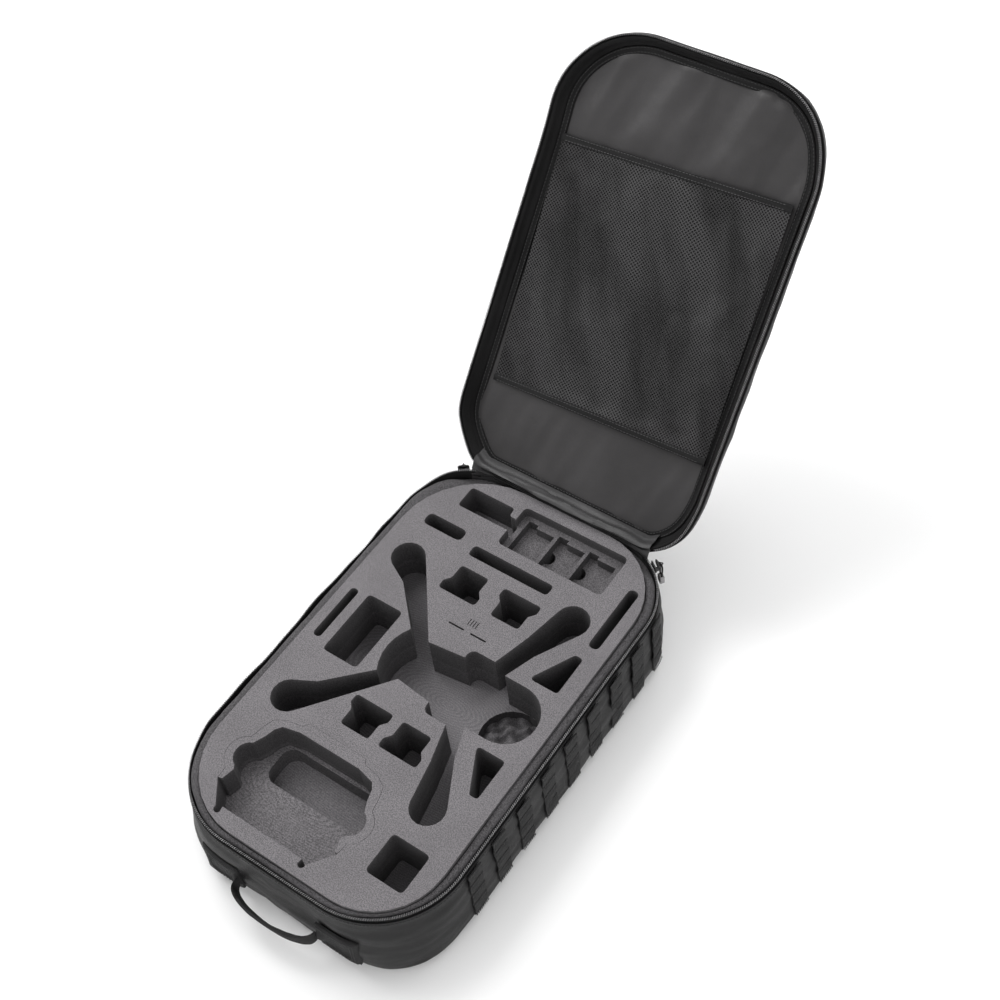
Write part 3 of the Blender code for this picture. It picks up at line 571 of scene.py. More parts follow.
def stitches(name, lines, length=3.0 * MM, gap=1.6 * MM, width=0.45 * MM):
    """Rows of thread: each line is (points, out), out(place) being the direction it stands off the cloth."""
    shape = bmesh.new()
    for points, out in lines:
        spaced = respaced(points, (length + gap) / 4)
        for start in range(0, len(spaced) - 3, 4):
            first, last = spaced[start], spaced[start + 3]
            normal = Vector(out(first))
            side = (last - first).cross(normal).normalized()
            middle = (first + last) / 2
            rows = []
            for place, half, rise in ((first, 0.4, 0.0), (first.lerp(middle, 0.4), 1, 0.7),
                                      (last.lerp(middle, 0.4), 1, 0.7), (last, 0.4, 0.0)):
                centre = place + normal * width * rise
                rows.append([shape.verts.new(centre + offset) for offset in (
                    -side * width * half, -normal * width, side * width * half, normal * width * 0.6 * half)])
            for lower, upper in zip(rows, rows[1:]):
                quads(shape, lower, upper)
            shape.faces.new(rows[0])
            shape.faces.new(rows[-1])
    return finish_mesh(name, shape, THREAD)


# ------------------------------------------------------------------ foam insert, joined from its blocks
def join_insert():
    """One continuous insert from the CAD's blocks: the hairline gaps and the faces in them go."""
    names = [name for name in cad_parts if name.startswith("foam_") and name.endswith("_block")]
    shape = bmesh.new()
    for name in sorted(names):
        shape.from_mesh(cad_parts[name].data)
    bmesh.ops.remove_doubles(shape, verts=shape.verts, dist=0.01 * MM)
    bmesh.ops.dissolve_limit(shape, angle_limit=math.radians(1), verts=shape.verts, edges=shape.edges)
    splits = [(0, 80 * MM)] + [(1, y * MM) for y in (164, 158.6, 129.5, -114.3, -122, -143.4, 7.6)]

    def in_split(face, axis, level):
        places = [vertex.co[axis] for vertex in face.verts]
        flat = max(places) - min(places) < 0.05 * MM and abs(face.normal[axis]) > 0.99
        return flat and abs(places[0] - level) < 0.35 * MM

    inner = [face for face in shape.faces if any(in_split(face, *split) for split in splits)]
    bmesh.ops.delete(shape, geom=inner, context="FACES")
    for vertex in shape.verts:
        for axis, level in splits:
            if abs(vertex.co[axis] - level) < 0.2 * MM:
                vertex.co[axis] = level
    bmesh.ops.remove_doubles(shape, verts=shape.verts, dist=0.1 * MM)
    bmesh.ops.dissolve_limit(shape, angle_limit=math.radians(1), verts=shape.verts, edges=shape.edges)
    made = finish_mesh("foam_insert", shape, FOAM, 30)
    soften = made.modifiers.new("cut_edge", "BEVEL")
    soften.width, soften.segments = 0.6 * MM, 2
    soften.limit_method, soften.angle_limit = "ANGLE", math.radians(60)
    on(made, "base", "grey_foam", *names)


join_insert()
for name, finish in (("foam_base_layer", FOAM_FLOOR), ("remote_ring_frame", FOAM), ("base_panel_board", BOARD)):
    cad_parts[name].data.materials.clear()
    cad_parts[name].data.materials.append(finish)


def egg_crate():
    """The convoluted pad under the gimbal: rounded peaks and dips inside a circle."""
    low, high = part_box("egg_crate_pad")
    centre = (Vector(low) + Vector(high)) / 2
    radius = (high[0] - low[0]) / 2
    floor, tall = low[2], high[2] - low[2]
    around, steps, pitch = 72, 27, 4.8 * MM
    rings = [[(x, y, floor) for x, y in arc(centre.x, centre.y, radius, 0, 360, around)[:-1]]]
    for step in range(steps, 0, -1):
        ring = []
        for x, y in arc(0, 0, radius * step / steps, 0, 360, around)[:-1]:
            bent = rough((x, y, 0), (60, 60, 1), 71.1) * 1.1
            wave = math.cos(x / pitch + bent) * math.cos(y / pitch - bent)
            ring.append((centre.x + x, centre.y + y, floor + tall * (0.5 + 0.47 * signed_power(wave, 0.8))))
        rings.append(ring)
    made = skin("egg_crate_foam_pad", rings, DARK_FOAM)
    on(made, "base", "dark_foam", "egg_crate_pad")


egg_crate()


# ------------------------------------------------------------------ base: outer cover
def base_cover():
    """The soft outer cover, standing a little full between floor and rim, with slack wrinkles."""
    def ring(inset, height):
        radii = corner_radii(inset, corner_share(height))
        return [(x, y, height) for x, y in rounded(HALF_W - inset, HALF_L - inset, radii, 20, 24, 70)]

    rings = []
    for angle in map(math.radians, (2, 20, 40, 60, 80)):
        rings.append(ring(FOOT_FILLET * (1 - math.sin(angle)), FOOT_FILLET * (1 - math.cos(angle))))
    steps, edge = 26, SHELL_TOP + 0.9 * MM
    rings += [ring(0, FOOT_FILLET + (SHELL_TOP - FOOT_FILLET) * step / steps) for step in range(steps + 1)]
    rings += [ring(0.4 * MM, edge), ring(1.6 * MM, edge), ring(2.1 * MM, SHELL_TOP)]
    rings += [ring(*spot) for spot in in_mm([(2.2, 90), (2.2, 40), (2.2, 12), (8, 2.2)])]
    made = skin("base_cover", rings, SHELL)

    def wrinkles(place, normal):
        if abs(normal.z) > 0.9 and place.z < 5 * MM:
            return 0
        lined = abs(place.x) < HALF_W - 2.05 * MM and abs(place.y) < HALF_L - 2.05 * MM and normal.z > -0.1
        if place.z > SHELL_TOP - 1 * MM or lined and normal.dot(Vector((place.x, place.y, 0))) < 0:
            return 0
        held = smooth(place.z / (12 * MM)) * smooth((SHELL_TOP - place.z) / (14 * MM))
        slack = rough(place, (7, 7, 34), 3.1) * 1.7 + rough(place, (24, 24, 30), 9.4) * 0.7
        return held * (slack + 2.2 * math.sin(math.pi * place.z / SHELL_TOP)) * MM

    shaped(made, wrinkles)
    pushed(made, rim_slack)
    on(made, "base", "coated_fabric", "base_shell")


base_cover()


def ring_line(outline, height):
    """A closed line round an outline, at one height."""
    return [(x, y, height) for x, y in outline + outline[:1]]


def outward(point):
    """Away from the case's wall, level."""
    x = math.copysign(max(abs(point.x) - (HALF_W - RIM_RADIUS), 0), point.x)
    y = math.copysign(max(abs(point.y) - (HALF_L - RIM_RADIUS), 0), point.y)
    return Vector((x, y, 0)).normalized()


seam = ring_line(case_outline(-0.2 * MM), 112.6 * MM)
on(stitches("base_seam_stitches", [(seam, outward)]), "base", "zip_tape")


# ------------------------------------------------------------------ base: zip and padded wall
def zip_tape(name, low, high, end_angle, body, node_name):
    middle = (low + high) / 2
    profile = ((2.5, low), (2.4, middle), (2.5, high), (3.7, high), (3.8, middle), (3.7, low))
    lines = [[(p.x, p.y, height) for p in zip_path(inset * MM, end_angle, 4 * MM)] for inset, height in profile]
    count = min(len(line) for line in lines)
    made = loft(name, [resample(line, count) for line in lines], TAPE)
    shaped(made, lambda place, normal: rough(place, (22, 22, 60), 5.5) * 0.35 * MM)
    if body == "base":
        pushed(made, rim_slack)
    return on(made, body, "zip_tape", node_name)


def zip_coil(name, centre_z, end_angle, body, node_name):
    """The nylon coil: one long helix whose turns are the teeth."""
    radial, tall, pitch, per_turn = 1.05 * MM, 1.2 * MM, 2.7 * MM, 8
    spine = zip_path(2.5 * MM, end_angle, pitch / per_turn)
    points = []
    for index, place in enumerate(spine):
        angle = turn_of(index, per_turn)
        before, after = spine[max(index - 1, 0)], spine[min(index + 1, len(spine) - 1)]
        ahead = (after - before).normalized()
        off = radial * signed_power(math.cos(angle), 0.6)
        height = centre_z + tall * signed_power(math.sin(angle), 0.6)
        points.append((place.x + ahead.y * off, place.y - ahead.x * off, height))
    made = tube(name, points, 0.45 * MM, TEETH, sides=5)
    if body == "base":
        pushed(made, rim_slack)
    return on(made, body, "zip_coil", node_name)


BASE_COIL_Z, LID_COIL_Z = ZIP_PLANE - 1.95 * MM, ZIP_PLANE + 1.95 * MM
zip_tape("base_zip_ribbon", 110 * MM, 124.3 * MM, BASE_ZIP_END, "base", "base_zip_tape")
zip_coil("base_zip_teeth", BASE_COIL_Z, BASE_ZIP_END, "base", "base_zip_coil")


def padded_wall():
    """The dark foam strip between the zip and the insert, with a soft rolled top."""
    profile = [(5.6, 14.5), (5.6, 60), (5.6, 108), (5.6, 118), (5.8, 124), (6.5, 126.6), (7.6, 128.2), (9.0, 129.1),
               (10.2, 129.3), (10.9, 128.6), (11.0, 127), (11.0, 60), (11.0, 14.5)]
    clear = 0.4 * MM
    middle_x, half_w = (FOAM_LEFT + FOAM_RIGHT) / 2, (FOAM_RIGHT - FOAM_LEFT) / 2
    foam = rounded(half_w + clear, FOAM_HALF_L + clear, [radius + clear for radius in FOAM_CORNERS])
    outer = case_outline(5.6 * MM)
    loops = []
    for inset, height in profile:
        share = (inset - 5.6) / 5.4
        loops.append([(a[0] + (b[0] + middle_x - a[0]) * share, a[1] + (b[1] - a[1]) * share, height * MM)
                      for a, b in zip(outer, foam)])
    made = loft("base_padded_wall", loops, WALL_FOAM, wrap=True)

    def soft(place, normal):
        if place.z < 112 * MM:
            return 0
        return (rough(place, (16, 16, 90), 7.7) * 0.8 + rough(place, (60, 60, 60), 2.2) * 0.25) * MM

    def lower_at_hinge(place):
        past = smooth((place.y - 262 * MM) / (24 * MM))
        return (0, 0, -past * max(place.z - 117 * MM, 0))

    shaped(made, soft)
    pushed(made, lower_at_hinge)
    on(made, "base", "dark_foam", "base_side_padding", "base_rim_padding")


padded_wall()


# ------------------------------------------------------------------ webbing on the right wall
def wall_x(y, height):
    radius = corner_radius(height, y > 0)
    past = abs(y) - (HALF_L - radius)
    return HALF_W if past <= 0 else HALF_W - radius + math.sqrt(radius ** 2 - past ** 2)


def webbing(number):
    """One strip, sewn across at intervals so that it stands puffed out between the seams."""
    node_name = f"webbing_strip_{number}"
    low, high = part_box(node_name)
    y_low, y_high = low[1], high[1]
    tacks = [17.5, 42, 66.5, 91, 114]
    columns, rows = 12, 64
    top, bottom = 114.5 * MM, 17 * MM
    rings = []
    for row in range(rows + 1):
        height = bottom + (top - bottom) * row / rows
        gap_to_tack = min(abs(height / MM - tack) for tack in tacks)
        rise = 1.3 * MM * smooth(gap_to_tack / 9)
        sway = rough((0, 0, height), (0, 0, 30), number * 1.3) * 1.1 * MM
        front, back = [], []
        for column in range(columns + 1):
            across = column / columns
            y = y_low + (y_high - y_low) * across
            edge = 1 - abs(2 * across - 1) ** 6
            wander = rough((0, y, height), (0, 20, 26), number * 3.7) * 0.7 * MM
            x = wall_x(y, height) + 3.6 * MM + (rise * (0.75 + 0.25 * edge)) + wander
            front.append((x, y + sway, height))
            back.append((x - 1.5 * MM, y + sway, height))
        rings.append(front + back[::-1])
    on(skin(f"webbing_ribbon_{number}", rings, STRAP), "base", "webbing", node_name)
    lines = []
    for height in [(tack + shift) * MM for tack in tacks for shift in (-1.2, 1.2)]:
        places = [y_low + (y_high - y_low) * step / 8 for step in range(9)]
        lines.append(([(wall_x(y, height) + 4.2 * MM, y, height) for y in places], lambda place: (1, 0, 0)))
    on(stitches(f"webbing_tacks_{number}", lines, length=2.2 * MM, gap=1.0 * MM, width=0.6 * MM), "base", "zip_tape")


for number in range(1, 10):
    webbing(number)


# ------------------------------------------------------------------ carry handle
def end_wall_y(x, height):
    radius = corner_radius(height, False)
    past = abs(x) - (HALF_W - radius)
    return -HALF_L if past <= 0 else -(HALF_L - radius + math.sqrt(radius ** 2 - past ** 2))


def handle_patch(word, side):
    """A folded webbing patch with a turned edge, sewn down all round."""
    columns, rows = 20, 18
    x_low, x_high, z_low, z_high = 60 * MM, 118 * MM, 18 * MM, 68 * MM
    rings = []
    for column in range(columns + 1):
        x = x_low + (x_high - x_low) * column / columns
        front, back = [], []
        for row in range(rows + 1):
            z = z_low + (z_high - z_low) * row / rows
            border = min(x - x_low, x_high - x, z - z_low, z_high - z)
            lift = 2.2 + 2.2 * smooth(border / (3 * MM)) - 1.4 * smooth((border - 7 * MM) / (3 * MM))
            lift += 4.5 * smooth((76 * MM - x) / (12 * MM)) * smooth(1 - abs(z - 43 * MM) / (17 * MM))
            lift += rough((x, 0, z), (40, 1, 40), 4 + side) * 0.5
            y = end_wall_y(x, z)
            front.append((side * x, y - 2.2 * MM - lift * MM, z))
            back.append((side * x, y - 1.5 * MM, z))
        rings.append(front + back[::-1])
    on(skin("handle_anchor_" + word, rings, STRAP), "base", "webbing", "handle_patch_" + word)
    lines = []
    for border in (5 * MM, 9 * MM):
        near_x, far_x, low, high = x_low + border, x_high - border, z_low + border, z_high - border
        loop = ((near_x, low), (far_x, low), (far_x, high), (near_x, high), (near_x, low))
        line = []
        for (xa, za), (xb, zb) in zip(loop, loop[1:]):
            for step in range(8):
                x, z = xa + (xb - xa) * step / 8, za + (zb - za) * step / 8
                line.append((side * x, end_wall_y(x, z) - 6.4 * MM, z))
        lines.append((line, lambda place: (0, -1, 0)))
    on(stitches(f"handle_stitches_{word}", lines, width=0.6 * MM), "base", "zip_tape")


handle_patch("left", -1)
handle_patch("right", 1)


def carry_handle():
    """The strap: flat and broad where it leaves the patches, rolled narrow at the grip."""
    rings, count = [], 56
    pivot, reach, span = 8 * MM, 31 * MM, 60.2 * MM
    up = Vector((0, 0, 1))

    def centre_at(angle):
        out = pivot + (reach - pivot) * max(math.sin(angle), 0) ** 0.8
        return Vector((-span * math.cos(angle), -HALF_L - out, 43 * MM))

    for step in range(count + 1):
        angle = math.pi * step / count
        grip = smooth(math.sin(angle) * 1.5 - 0.35)
        half_tall = (11.0 - 5.2 * grip) * MM
        half_thick = (1.1 + 1.6 * grip) * MM
        twist = math.radians(16) * math.sin(2 * angle) + 0.25 * math.sin(angle)
        ahead = (centre_at(angle + 0.02) - centre_at(angle - 0.02)).normalized()
        normal = Vector((ahead.y, -ahead.x, 0))
        wide = up * math.cos(twist) + normal * math.sin(twist)
        thin = normal * math.cos(twist) - up * math.sin(twist)
        rings.append([centre_at(angle) + wide * half_tall * signed_power(math.cos(turn), 0.55)
                      + thin * half_thick * signed_power(math.sin(turn), 0.7)
                      for turn in (turn_of(index, 20) for index in range(20))])
    made = skin("carry_handle_strap", rings, STRAP)
    shaped(made, lambda place, normal: rough(place, (50, 50, 90), 8.8) * 0.35 * MM)
    on(made, "handle", "webbing", "carry_handle")


carry_handle()


# ------------------------------------------------------------------ zip sliders and pulls
def turned(made, side, outset, height):
    """Carries a piece from the origin to its place on the hinge-end corner, facing out."""
    angle = math.radians(SLIDER_ANGLE)
    radius = HINGE_RADIUS + outset
    place = Vector((side * (HALF_W - HINGE_RADIUS + radius * math.cos(angle)),
                    HALF_L - HINGE_RADIUS + radius * math.sin(angle), height))
    turn = Matrix.Rotation(side * math.radians(SLIDER_ANGLE - 90), 4, "Z")
    made.data.transform(Matrix.Translation(place) @ turn)
    return made


def prism(name, outline, low, high, finish, bevel):
    """A slab between two levels of local Y, from an outline in local X and Z, with rounded edges; all in mm."""
    shape = bmesh.new()
    lower, upper = [[shape.verts.new((x * MM, y * MM, z * MM)) for x, z in outline] for y in (low, high)]
    shape.faces.new(lower)
    shape.faces.new(upper)
    quads(shape, lower, upper)
    bmesh.ops.recalc_face_normals(shape, faces=shape.faces)
    bmesh.ops.bevel(shape, geom=list(shape.edges), offset=bevel * MM, segments=3, profile=0.6, affect="EDGES",
                    clamp_overlap=True)
    return finish_mesh(name, shape, finish)


def slider_body(name):
    """Front and rear plates, the bridge between them, and the saddle with the pull's eye."""
    plate = [(-8, -3.2), (-5, -5.4), (0, -4.6), (6, -5.2), (8, -2.6),
             (8, 2.6), (6, 5.2), (0, 4.6), (-5, 5.4), (-8, 3.2)]
    pieces = [prism("slider_part", outline, low, high, METAL, bevel) for outline, low, high, bevel in (
        (plate, 1.6, 3.6, 0.5), (plate, -4.0, -2.4, 0.5),
        ([(2.5, -2), (7, -2), (7, 2), (2.5, 2)], -2.6, 2.0, 0.4),
        ([(-4.6, -1.6), (4.6, -1.6), (4.6, 2.2), (-4.6, 2.2)], 3.2, 5.0, 0.6))]
    ring = [(0, 6.4 + 2.5 * math.cos(t), 1 + 2.4 * math.sin(t)) for t in (turn_of(step, 20) for step in range(20))]
    pieces.append(tube("slider_eye", in_mm(ring), 0.75 * MM, METAL, closed=True))
    shape = bmesh.new()
    for piece in pieces:
        shape.from_mesh(piece.data)
        bpy.data.objects.remove(piece)
    return finish_mesh(name, shape, METAL)


PULL_CORD = [(-2.4, 0, -27), (-3.0, 0, -20), (-4.2, 0, -11)]
PULL_CORD += [(x, 0, z) for x, z in arc(0, -4.6, 4.6, 180, 0, 14)]
PULL_CORD += [(4.2, 0, -11), (3.0, 0, -20), (2.4, 0, -27)]
PULL_GRIP = [(-4.2, -24.4), (-5.4, -26.5), (-4.9, -29), (-5.4, -31.5), (-4.9, -34), (-5.2, -36.5), (-3.6, -38),
             (3.6, -38), (5.2, -36.5), (4.9, -34), (5.4, -31.5), (4.9, -29), (5.4, -26.5), (4.2, -24.4)]

for side, word in ((-1, "left"), (1, "right")):
    body = turned(slider_body("slider_body_" + word), side, 3.8 * MM, SLIDER_Z)
    on(body, "slider_" + word, "slider_metal", "zip_slider_" + word)
    cord = tube("pull_loop_" + word, respaced(in_mm(PULL_CORD), 1.2 * MM), 1.15 * MM, CORD, 12)
    on(turned(cord, side, 10.2 * MM, PULL_Z), "pull_" + word, "zip_tape", "pull_cord_" + word)
    grip = prism("pull_grip_" + word, PULL_GRIP, -3.1, 3.1, RUBBER, 1.0)
    on(turned(grip, side, 10.2 * MM, PULL_Z), "pull_" + word, "pull_end", "pull_end_" + word)


# ------------------------------------------------------------------ lid
def toward_middle(outline, share, height):
    """The same outline shrunk about its middle."""
    middle = (min(y for _, y in outline) + max(y for _, y in outline)) / 2
    return [(x * share, middle + (y - middle) * share, height) for x, y in outline]


def lid_cover():
    """The lid's outer cover: a domed shell that leans in from its rim, with slack in its wall."""
    wall = 2.2 * MM
    shares = (0.02, 0.2, 0.4, 0.6, 0.8, 0.93)

    def ring(inset, height):
        return [(x, y, height) for x, y in lid_outline(inset)]

    def crown(depth, count):
        angles = [math.radians(88 * step / count) for step in range(count + 1)]
        return [ring(depth + (LID_CROWN_INSET - depth) * (1 - math.cos(angle)),
                     LID_RIM + (LID_BACK - depth - LID_RIM) * math.sin(angle)) for angle in angles]

    back = lid_outline(LID_CROWN_INSET)
    rings = [toward_middle(back, share, LID_BACK - wall) for share in shares]
    rings += crown(wall, 8)[::-1]
    rings.append(ring(1.6 * MM, LID_RIM - 0.8 * MM))
    rings.append(ring(0.5 * MM, LID_RIM - 0.8 * MM))
    rings += crown(0, 22)
    rings += [toward_middle(back, share, LID_BACK) for share in shares[::-1]]
    made = skin("lid_cover", rings, SHELL)

    def wrinkles(place, normal):
        facing_out = normal.z > 0.02 or abs(place.x) > HALF_W - 2 * MM or abs(place.y) > HALF_L - 2 * MM
        if place.z < LID_RIM + 0.5 * MM or normal.z < -0.02 or not facing_out:
            return 0
        held = smooth((place.z - LID_RIM) / (12 * MM))
        return held * (rough(place, (9, 9, 30), 21.4) * 1.4 + rough(place, (24, 24, 50), 3.4) * 0.5) * MM

    shaped(made, wrinkles)
    on(made, "lid", "coated_fabric", "lid_shell")


lid_cover()


def lid_stuffing():
    """The stiff sheet and the foam in the lid's panel, and the soft wedge in its wall."""
    def slab(name, inset, low, high, finish):
        outline, shares = lid_outline(inset * MM), (0.02, 0.5, 1)
        rings = [toward_middle(outline, share, low * MM) for share in shares]
        return skin(name, rings + [toward_middle(outline, share, high * MM) for share in shares[::-1]], finish)

    on(slab("lid_stiff_sheet", 29, 167.5, 169.3, BOARD), "lid", "stiffener_board", "lid_stiffener")
    panel = on(slab("lid_panel_padding", 19.5, 152, 166.5, WALL_FOAM), "lid", "dark_foam", "lid_panel_foam")
    profile = in_mm([(5.8, 140.6), (12.2, 149.1), (6.0, 149.1)])
    wedge = on(swept("lid_wall_padding", lid_outline, profile, WALL_FOAM), "lid", "dark_foam", "lid_wall_foam")


lid_stuffing()

zip_tape("lid_zip_ribbon", 128.1 * MM, 138 * MM, LID_ZIP_END, "lid", "lid_zip_tape")
zip_coil("lid_zip_teeth", LID_COIL_Z, LID_ZIP_END, "lid", "lid_zip_coil")


def lid_facing():
    """The padded slope between the zip and the lining."""
    profile = in_mm([(4.2, 131.8), (5.2, 131.2), (6.6, 132.6), (8.2, 136.4), (9.6, 140.2), (11.2, 143.6),
                     (12.6, 146.4), (13.8, 148.0), (13.9, 149.6), (9.4, 146.0), (4.2, 137.4)])
    made = swept("lid_padded_facing", lid_outline, profile, EDGE_TAPE)

    def folds(place, normal):
        if normal.z > 0.3:
            return 0
        return (rough(place, (5, 5, 190), 12.9, 2) * 1.1 + rough(place, (26, 26, 50), 6.1) * 0.5) * MM

    shaped(made, folds)
    on(made, "lid", "zip_tape", "lid_facing")


lid_facing()


def off_lining(place):
    """Away from the lining, on the lid as it is drawn shut."""
    return (0, 0, -1)


def lid_bound_edge():
    """The binding over the facing's and the lining's edges, with its two rows of stitches."""
    profile = in_mm([(14.2, 149.6), (14.1, 148.4), (15.0, 147.4), (17.0, 147.9), (21.4, 147.9), (23.2, 147.4),
                     (24.1, 148.4), (24.0, 149.6)])
    made = swept("lid_edge_binding", lid_outline, profile, EDGE_TAPE)
    shaped(made, lambda place, normal: rough(place, (30, 30, 30), 15.2) * 0.3 * MM if normal.z < 0.2 else 0)
    on(made, "lid", "zip_tape", "lid_binding")
    lines = [(ring_line(lid_outline(inset * MM), 147.5 * MM), off_lining) for inset in (16.4, 22.0)]
    on(stitches("lid_binding_stitches", lines, width=0.5 * MM), "lid", "zip_tape")


lid_bound_edge()


def inside(outline, x, y):
    """Whether a place is within a closed outline."""
    hits = False
    for (xa, ya), (xb, yb) in zip(outline, outline[1:] + outline[:1]):
        if (ya > y) != (yb > y) and x < xa + (y - ya) * (xb - xa) / (yb - ya):
            hits = not hits
    return hits


def nearest(outline, x, y):
    return min(outline, key=lambda spot: (spot[0] - x) ** 2 + (spot[1] - y) ** 2)


def relaxed(made, held, growth, frames, cap, keep_between):
    """Runs the piece as cloth that is a little larger than its frame, so that it buckles into folds.

    held(place) is true for the vertices that stay where they are. The result is applied to the mesh,
    with each vertex kept within cap of its start and between two heights.
    """
    starts = [vertex.co.copy() for vertex in made.data.vertices]
    pins = made.vertex_groups.new(name="held")
    pins.add([vertex.index for vertex in made.data.vertices if held(vertex.co)], 1.0, "REPLACE")
    modifier = made.modifiers.new("drape", "CLOTH")
    cloth = modifier.settings
    for setting, value in (("quality", 5), ("mass", 0.15), ("tension_stiffness", 25), ("compression_stiffness", 25),
                           ("shear_stiffness", 12), ("bending_stiffness", 1.2), ("air_damping", 4),
                           ("shrink_min", -growth), ("vertex_group_mass", "held")):
        setattr(cloth, setting, value)
    cloth.effector_weights.gravity = 0
    modifier.collision_settings.use_collision = False
    modifier.point_cache.frame_start, modifier.point_cache.frame_end = 1, frames
    scene = bpy.context.scene
    for frame_number in range(1, frames + 1):
        scene.frame_set(frame_number)
    graph = bpy.context.evaluated_depsgraph_get()
    settled = [vertex.co.copy() for vertex in made.evaluated_get(graph).data.vertices]
    made.modifiers.remove(modifier)
    made.vertex_groups.remove(pins)
    scene.frame_set(1)
    low, high = keep_between
    for vertex, start, end in zip(made.data.vertices, starts, settled):
        moved = end - start
        if moved.length > cap:
            moved *= cap / moved.length
        vertex.co = start + moved
        vertex.co.z = min(max(vertex.co.z, low), high)
    made.data.update()


def thickened(made, name, thick, finish):
    """A closed cloth from an open sheet: the same sheet again behind it, joined round the border."""
    shape = bmesh.new()
    shape.from_mesh(made.data)
    bpy.data.objects.remove(made)
    front = list(shape.faces)
    border = [edge for edge in shape.edges if edge.is_boundary]
    copied = bmesh.ops.duplicate(shape, geom=shape.verts[:] + shape.edges[:] + front)
    twin = copied["vert_map"]
    for vertex in {twin[v] for f in front for v in f.verts}:
        vertex.co.z += thick
    for edge in border:
        a, b = edge.verts
        shape.faces.new((a, b, twin[b], twin[a]))
    return finish_mesh(name, shape, finish)


def lid_lining():
    """The lining over the panel foam, cut a little full so that it lies in long soft folds."""
    pitch = 7 * MM
    edge = lid_outline(LINING_INSET + 0.7 * MM)
    spots, shape = {}, bmesh.new()
    columns, rows = round(190 * MM / pitch), round(320 * MM / pitch)
    for column in range(-columns, columns + 1):
        for row in range(-rows, rows + 1):
            x, y = column * pitch, row * pitch
            if inside(edge, x, y):
                full = 0.9 + 3.4 * smooth((abs(y) - 158 * MM) / (40 * MM))
                flutter = rough((x + 0.25 * y, y, 0), (19, 3.2, 1), 31.3) * full * MM
                spots[column, row] = shape.verts.new((x, y, LINING_Z - (0.3 * full) * MM + flutter))
    for (column, row), corner in spots.items():
        others = [spots.get(place) for place in ((column + 1, row), (column + 1, row + 1), (column, row + 1))]
        if None not in others:
            shape.faces.new([corner] + others)
    bmesh.ops.delete(shape, geom=[v for v in shape.verts if not v.link_faces], context="VERTS")
    for vertex in [v for v in shape.verts if v.is_boundary]:
        vertex.co.x, vertex.co.y = nearest(edge, vertex.co.x, vertex.co.y)
        vertex.co.z = LINING_Z + 0.3 * MM
    sheet = finish_mesh("lining_sheet", shape, LINING)
    hem = lid_outline(25 * MM)
    relaxed(sheet, lambda place: not inside(hem, place.x, place.y), 0.02, 24, 9 * MM,
            (LINING_Z - 5.5 * MM, LINING_Z + 0.9 * MM))
    made = thickened(sheet, "lid_lining_cloth", 0.6 * MM, LINING)
    soften = made.modifiers.new("smooth", "SUBSURF")
    soften.levels = soften.render_levels = 1
    on(made, "lid", "lining_fabric", "lid_lining")


lid_lining()


# ------------------------------------------------------------------ mesh pocket on the lid
TOP_LEFT, TOP_RIGHT = Vector((-165.6, -155.9)) * MM, Vector((156.3, -172.3)) * MM
FOOT_LEFT, FOOT_RIGHT = Vector((-155.0, 176.1)) * MM, Vector((163.0, 162.9)) * MM
MESH_Z = 143 * MM


def on_pocket(across, down):
    """A place on the pocket, from fractions of its width and of its depth."""
    return TOP_LEFT.lerp(FOOT_LEFT, down).lerp(TOP_RIGHT.lerp(FOOT_RIGHT, down), across)


def pocket_net():
    """The net is sewn at its sides and foot and hangs a little slack between them."""
    columns, rows = 64, 66
    shape = bmesh.new()
    grid = []
    for row in range(rows + 1):
        line = []
        for column in range(columns + 1):
            across, down = -0.006 + 1.026 * column / columns, 0.012 + 0.974 * row / rows
            place = on_pocket(across, down)
            edge = smooth(min(across, 1 - across, 1 - down, down * 0.7 + 0.02) / 0.12)
            along, over = place.x * 0.9 - place.y * 0.45, place.x * 0.45 + place.y * 0.9
            drape = rough((along, over, 0), (15, 3.2, 1), 41.7, 2) * 4.6
            drape += rough((along, over, 0), (34, 8, 1), 43.1) * 0.5
            line.append(shape.verts.new((*place, MESH_Z + 0.5 * MM + edge * (drape + 1.4) * MM)))
        grid.append(line)
    for upper, lower in zip(grid, grid[1:]):
        for column in range(columns):
            shape.faces.new((upper[column], upper[column + 1], lower[column + 1], lower[column]))
    sheet = finish_mesh("net_sheet", shape, POCKET)

    def sewn(place):
        left, right = on_pocket(0.03, 0.5), on_pocket(0.97, 0.5)
        top, foot = on_pocket(0.5, 0.03), on_pocket(0.5, 0.96)
        return (place.x < left.x + 0.028 * (place.y - left.y) or place.x > right.x + 0.02 * (place.y - right.y)
                or place.y > foot.y - 0.041 * (place.x - foot.x) or place.y < top.y - 0.051 * (place.x - top.x))

    relaxed(sheet, sewn, 0.005, 20, 7 * MM, (MESH_Z - 1.8 * MM, MESH_Z + 4.8 * MM))
    made = thickened(sheet, "pocket_net", 0.35 * MM, POCKET)
    flat_map = made.data.uv_layers.new(name="cloth")
    for loop in made.data.loops:
        place = made.data.vertices[loop.vertex_index].co
        flat_map.data[loop.index].uv = (place.x, place.y)
    return made


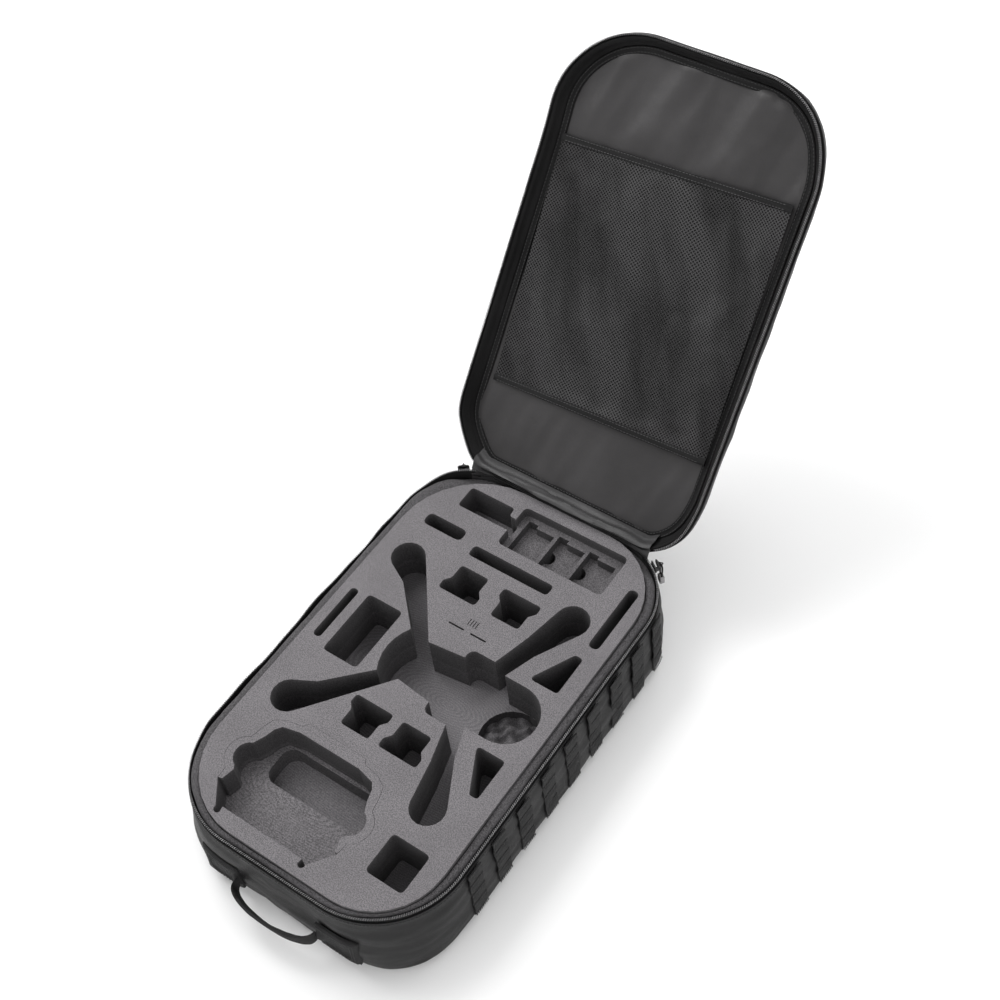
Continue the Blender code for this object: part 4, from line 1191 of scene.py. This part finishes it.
def band(name, start, end, width, z_low, z_high, seed):
    """A flat strip of binding between two places, with soft edges, rippled a little along its length."""
    steps = 60
    start, end = Vector(start), Vector(end)
    ahead = (end - start).normalized()
    side = Vector((-ahead.y, ahead.x))
    rings = []
    for step in range(steps + 1):
        spot = start.lerp(end, step / steps)
        ripple = rough(((end - start).length * step / steps, 0, 0), (22, 1, 1), seed) * 0.45 * MM
        ring = []
        for turn in (turn_of(index, 16) for index in range(16)):
            place = spot + side * (width / 2 * signed_power(math.cos(turn), 0.35) + ripple)
            height = (z_low + z_high) / 2 + (z_high - z_low) / 2 * signed_power(math.sin(turn), 0.5)
            ring.append((*place, height))
        rings.append(ring)
    return skin(name, rings, EDGE_TAPE)


def pocket():
    """The net, the four strips that hold it, and the stitches along its top and its foot."""
    net = pocket_net()
    below, behind = MESH_Z - 0.7 * MM, 149.4 * MM
    for name, start, end, width, low, high, seed, node_name in (
            ("top_tape", (-0.008, 0.015), (1.022, 0.015), 10, below, MESH_Z + 1.1 * MM, 51, "top_binding"),
            ("foot_tape", (-0.008, 0.985), (1.022, 0.985), 10, below, behind, 53, "bottom_binding"),
            ("side_tape_left", (0.012, 0), (0.012, 1), 7, MESH_Z + 1.4 * MM, behind, 57.012, "side_strip_left"),
            ("side_tape_right", (0.988, 0), (0.988, 1), 7, MESH_Z + 1.4 * MM, behind, 57.988, "side_strip_right")):
        strip = band("pocket_" + name, on_pocket(*start), on_pocket(*end), width * MM, low, high, seed)
        on(strip, "lid", "zip_tape", "pocket_" + node_name)
    lines = [([(*on_pocket(0.01 + 0.98 * step / 24, down), below) for step in range(25)], off_lining)
             for down in (0.006, 0.024, 0.976, 0.994)]
    on(stitches("pocket_stitches", lines, width=0.5 * MM), "lid", "zip_tape")
    on(net, "lid", "pocket_mesh", "pocket_mesh")


pocket()


# ------------------------------------------------------------------ hinge gusset
def hinge_gusset():
    """The fabric band that joins lid and base, rolled up between the insert and the lid's lining."""
    columns, half, rings = 80, 138 * MM, []

    def rim_y(x, inset, far=HALF_L):
        radius = HINGE_RADIUS - inset
        past = abs(x) - (HALF_W - HINGE_RADIUS)
        y = HALF_L - inset if past <= 0 else HALF_L - HINGE_RADIUS + math.sqrt(max(radius ** 2 - past ** 2, 0))
        return min(y, far)

    for column in range(columns + 1):
        x = -half + 2 * half * column / columns
        line = [Vector((x, rim_y(x, inset * MM), height * MM)) for inset, height in (
            (3.2, 112), (3.6, 119), (4.4, 126))]
        for inset, height, rise in ((6.0, 131.6, 4.0), (10.5, 137.2, 4.6), (15.0, 143.6, 2.6), (19.0, 148.2, 1.0)):
            place = OPENED @ Vector((x, rim_y(x, inset * MM, LID_FAR_Y - inset * MM), height * MM))
            line.append(place + Vector((0, -0.5, 0.85)) * rise * MM)
        fine = [Vector(p) for p in resample([p[:] for p in respaced(line, 2 * MM)], 30)]
        front, back = [], []
        for index, point in enumerate(fine):
            before, after = fine[max(index - 1, 0)], fine[min(index + 1, len(fine) - 1)]
            ahead = (after - before).normalized()
            normal = Vector((0, -ahead.z, ahead.y))
            held = smooth(index / 6) * smooth((len(fine) - 1 - index) / 6)
            run = rough((point.x, index * 0.004, 0), (9, 60, 1), 61.3) * 2.0
            wave = (run + 1.2 * math.sin(index * 0.75) + rough(point, (40, 20, 40), 63.3) * 0.6) * held * MM
            front.append(point + normal * (wave + 0.5 * MM))
            back.append(point + normal * (wave - 0.5 * MM))
        rings.append(front + back[::-1])
    made = skin("hinge_gusset_cloth", rings, GUSSET)
    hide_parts("hinge_gusset")
    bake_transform(made)


hinge_gusset()
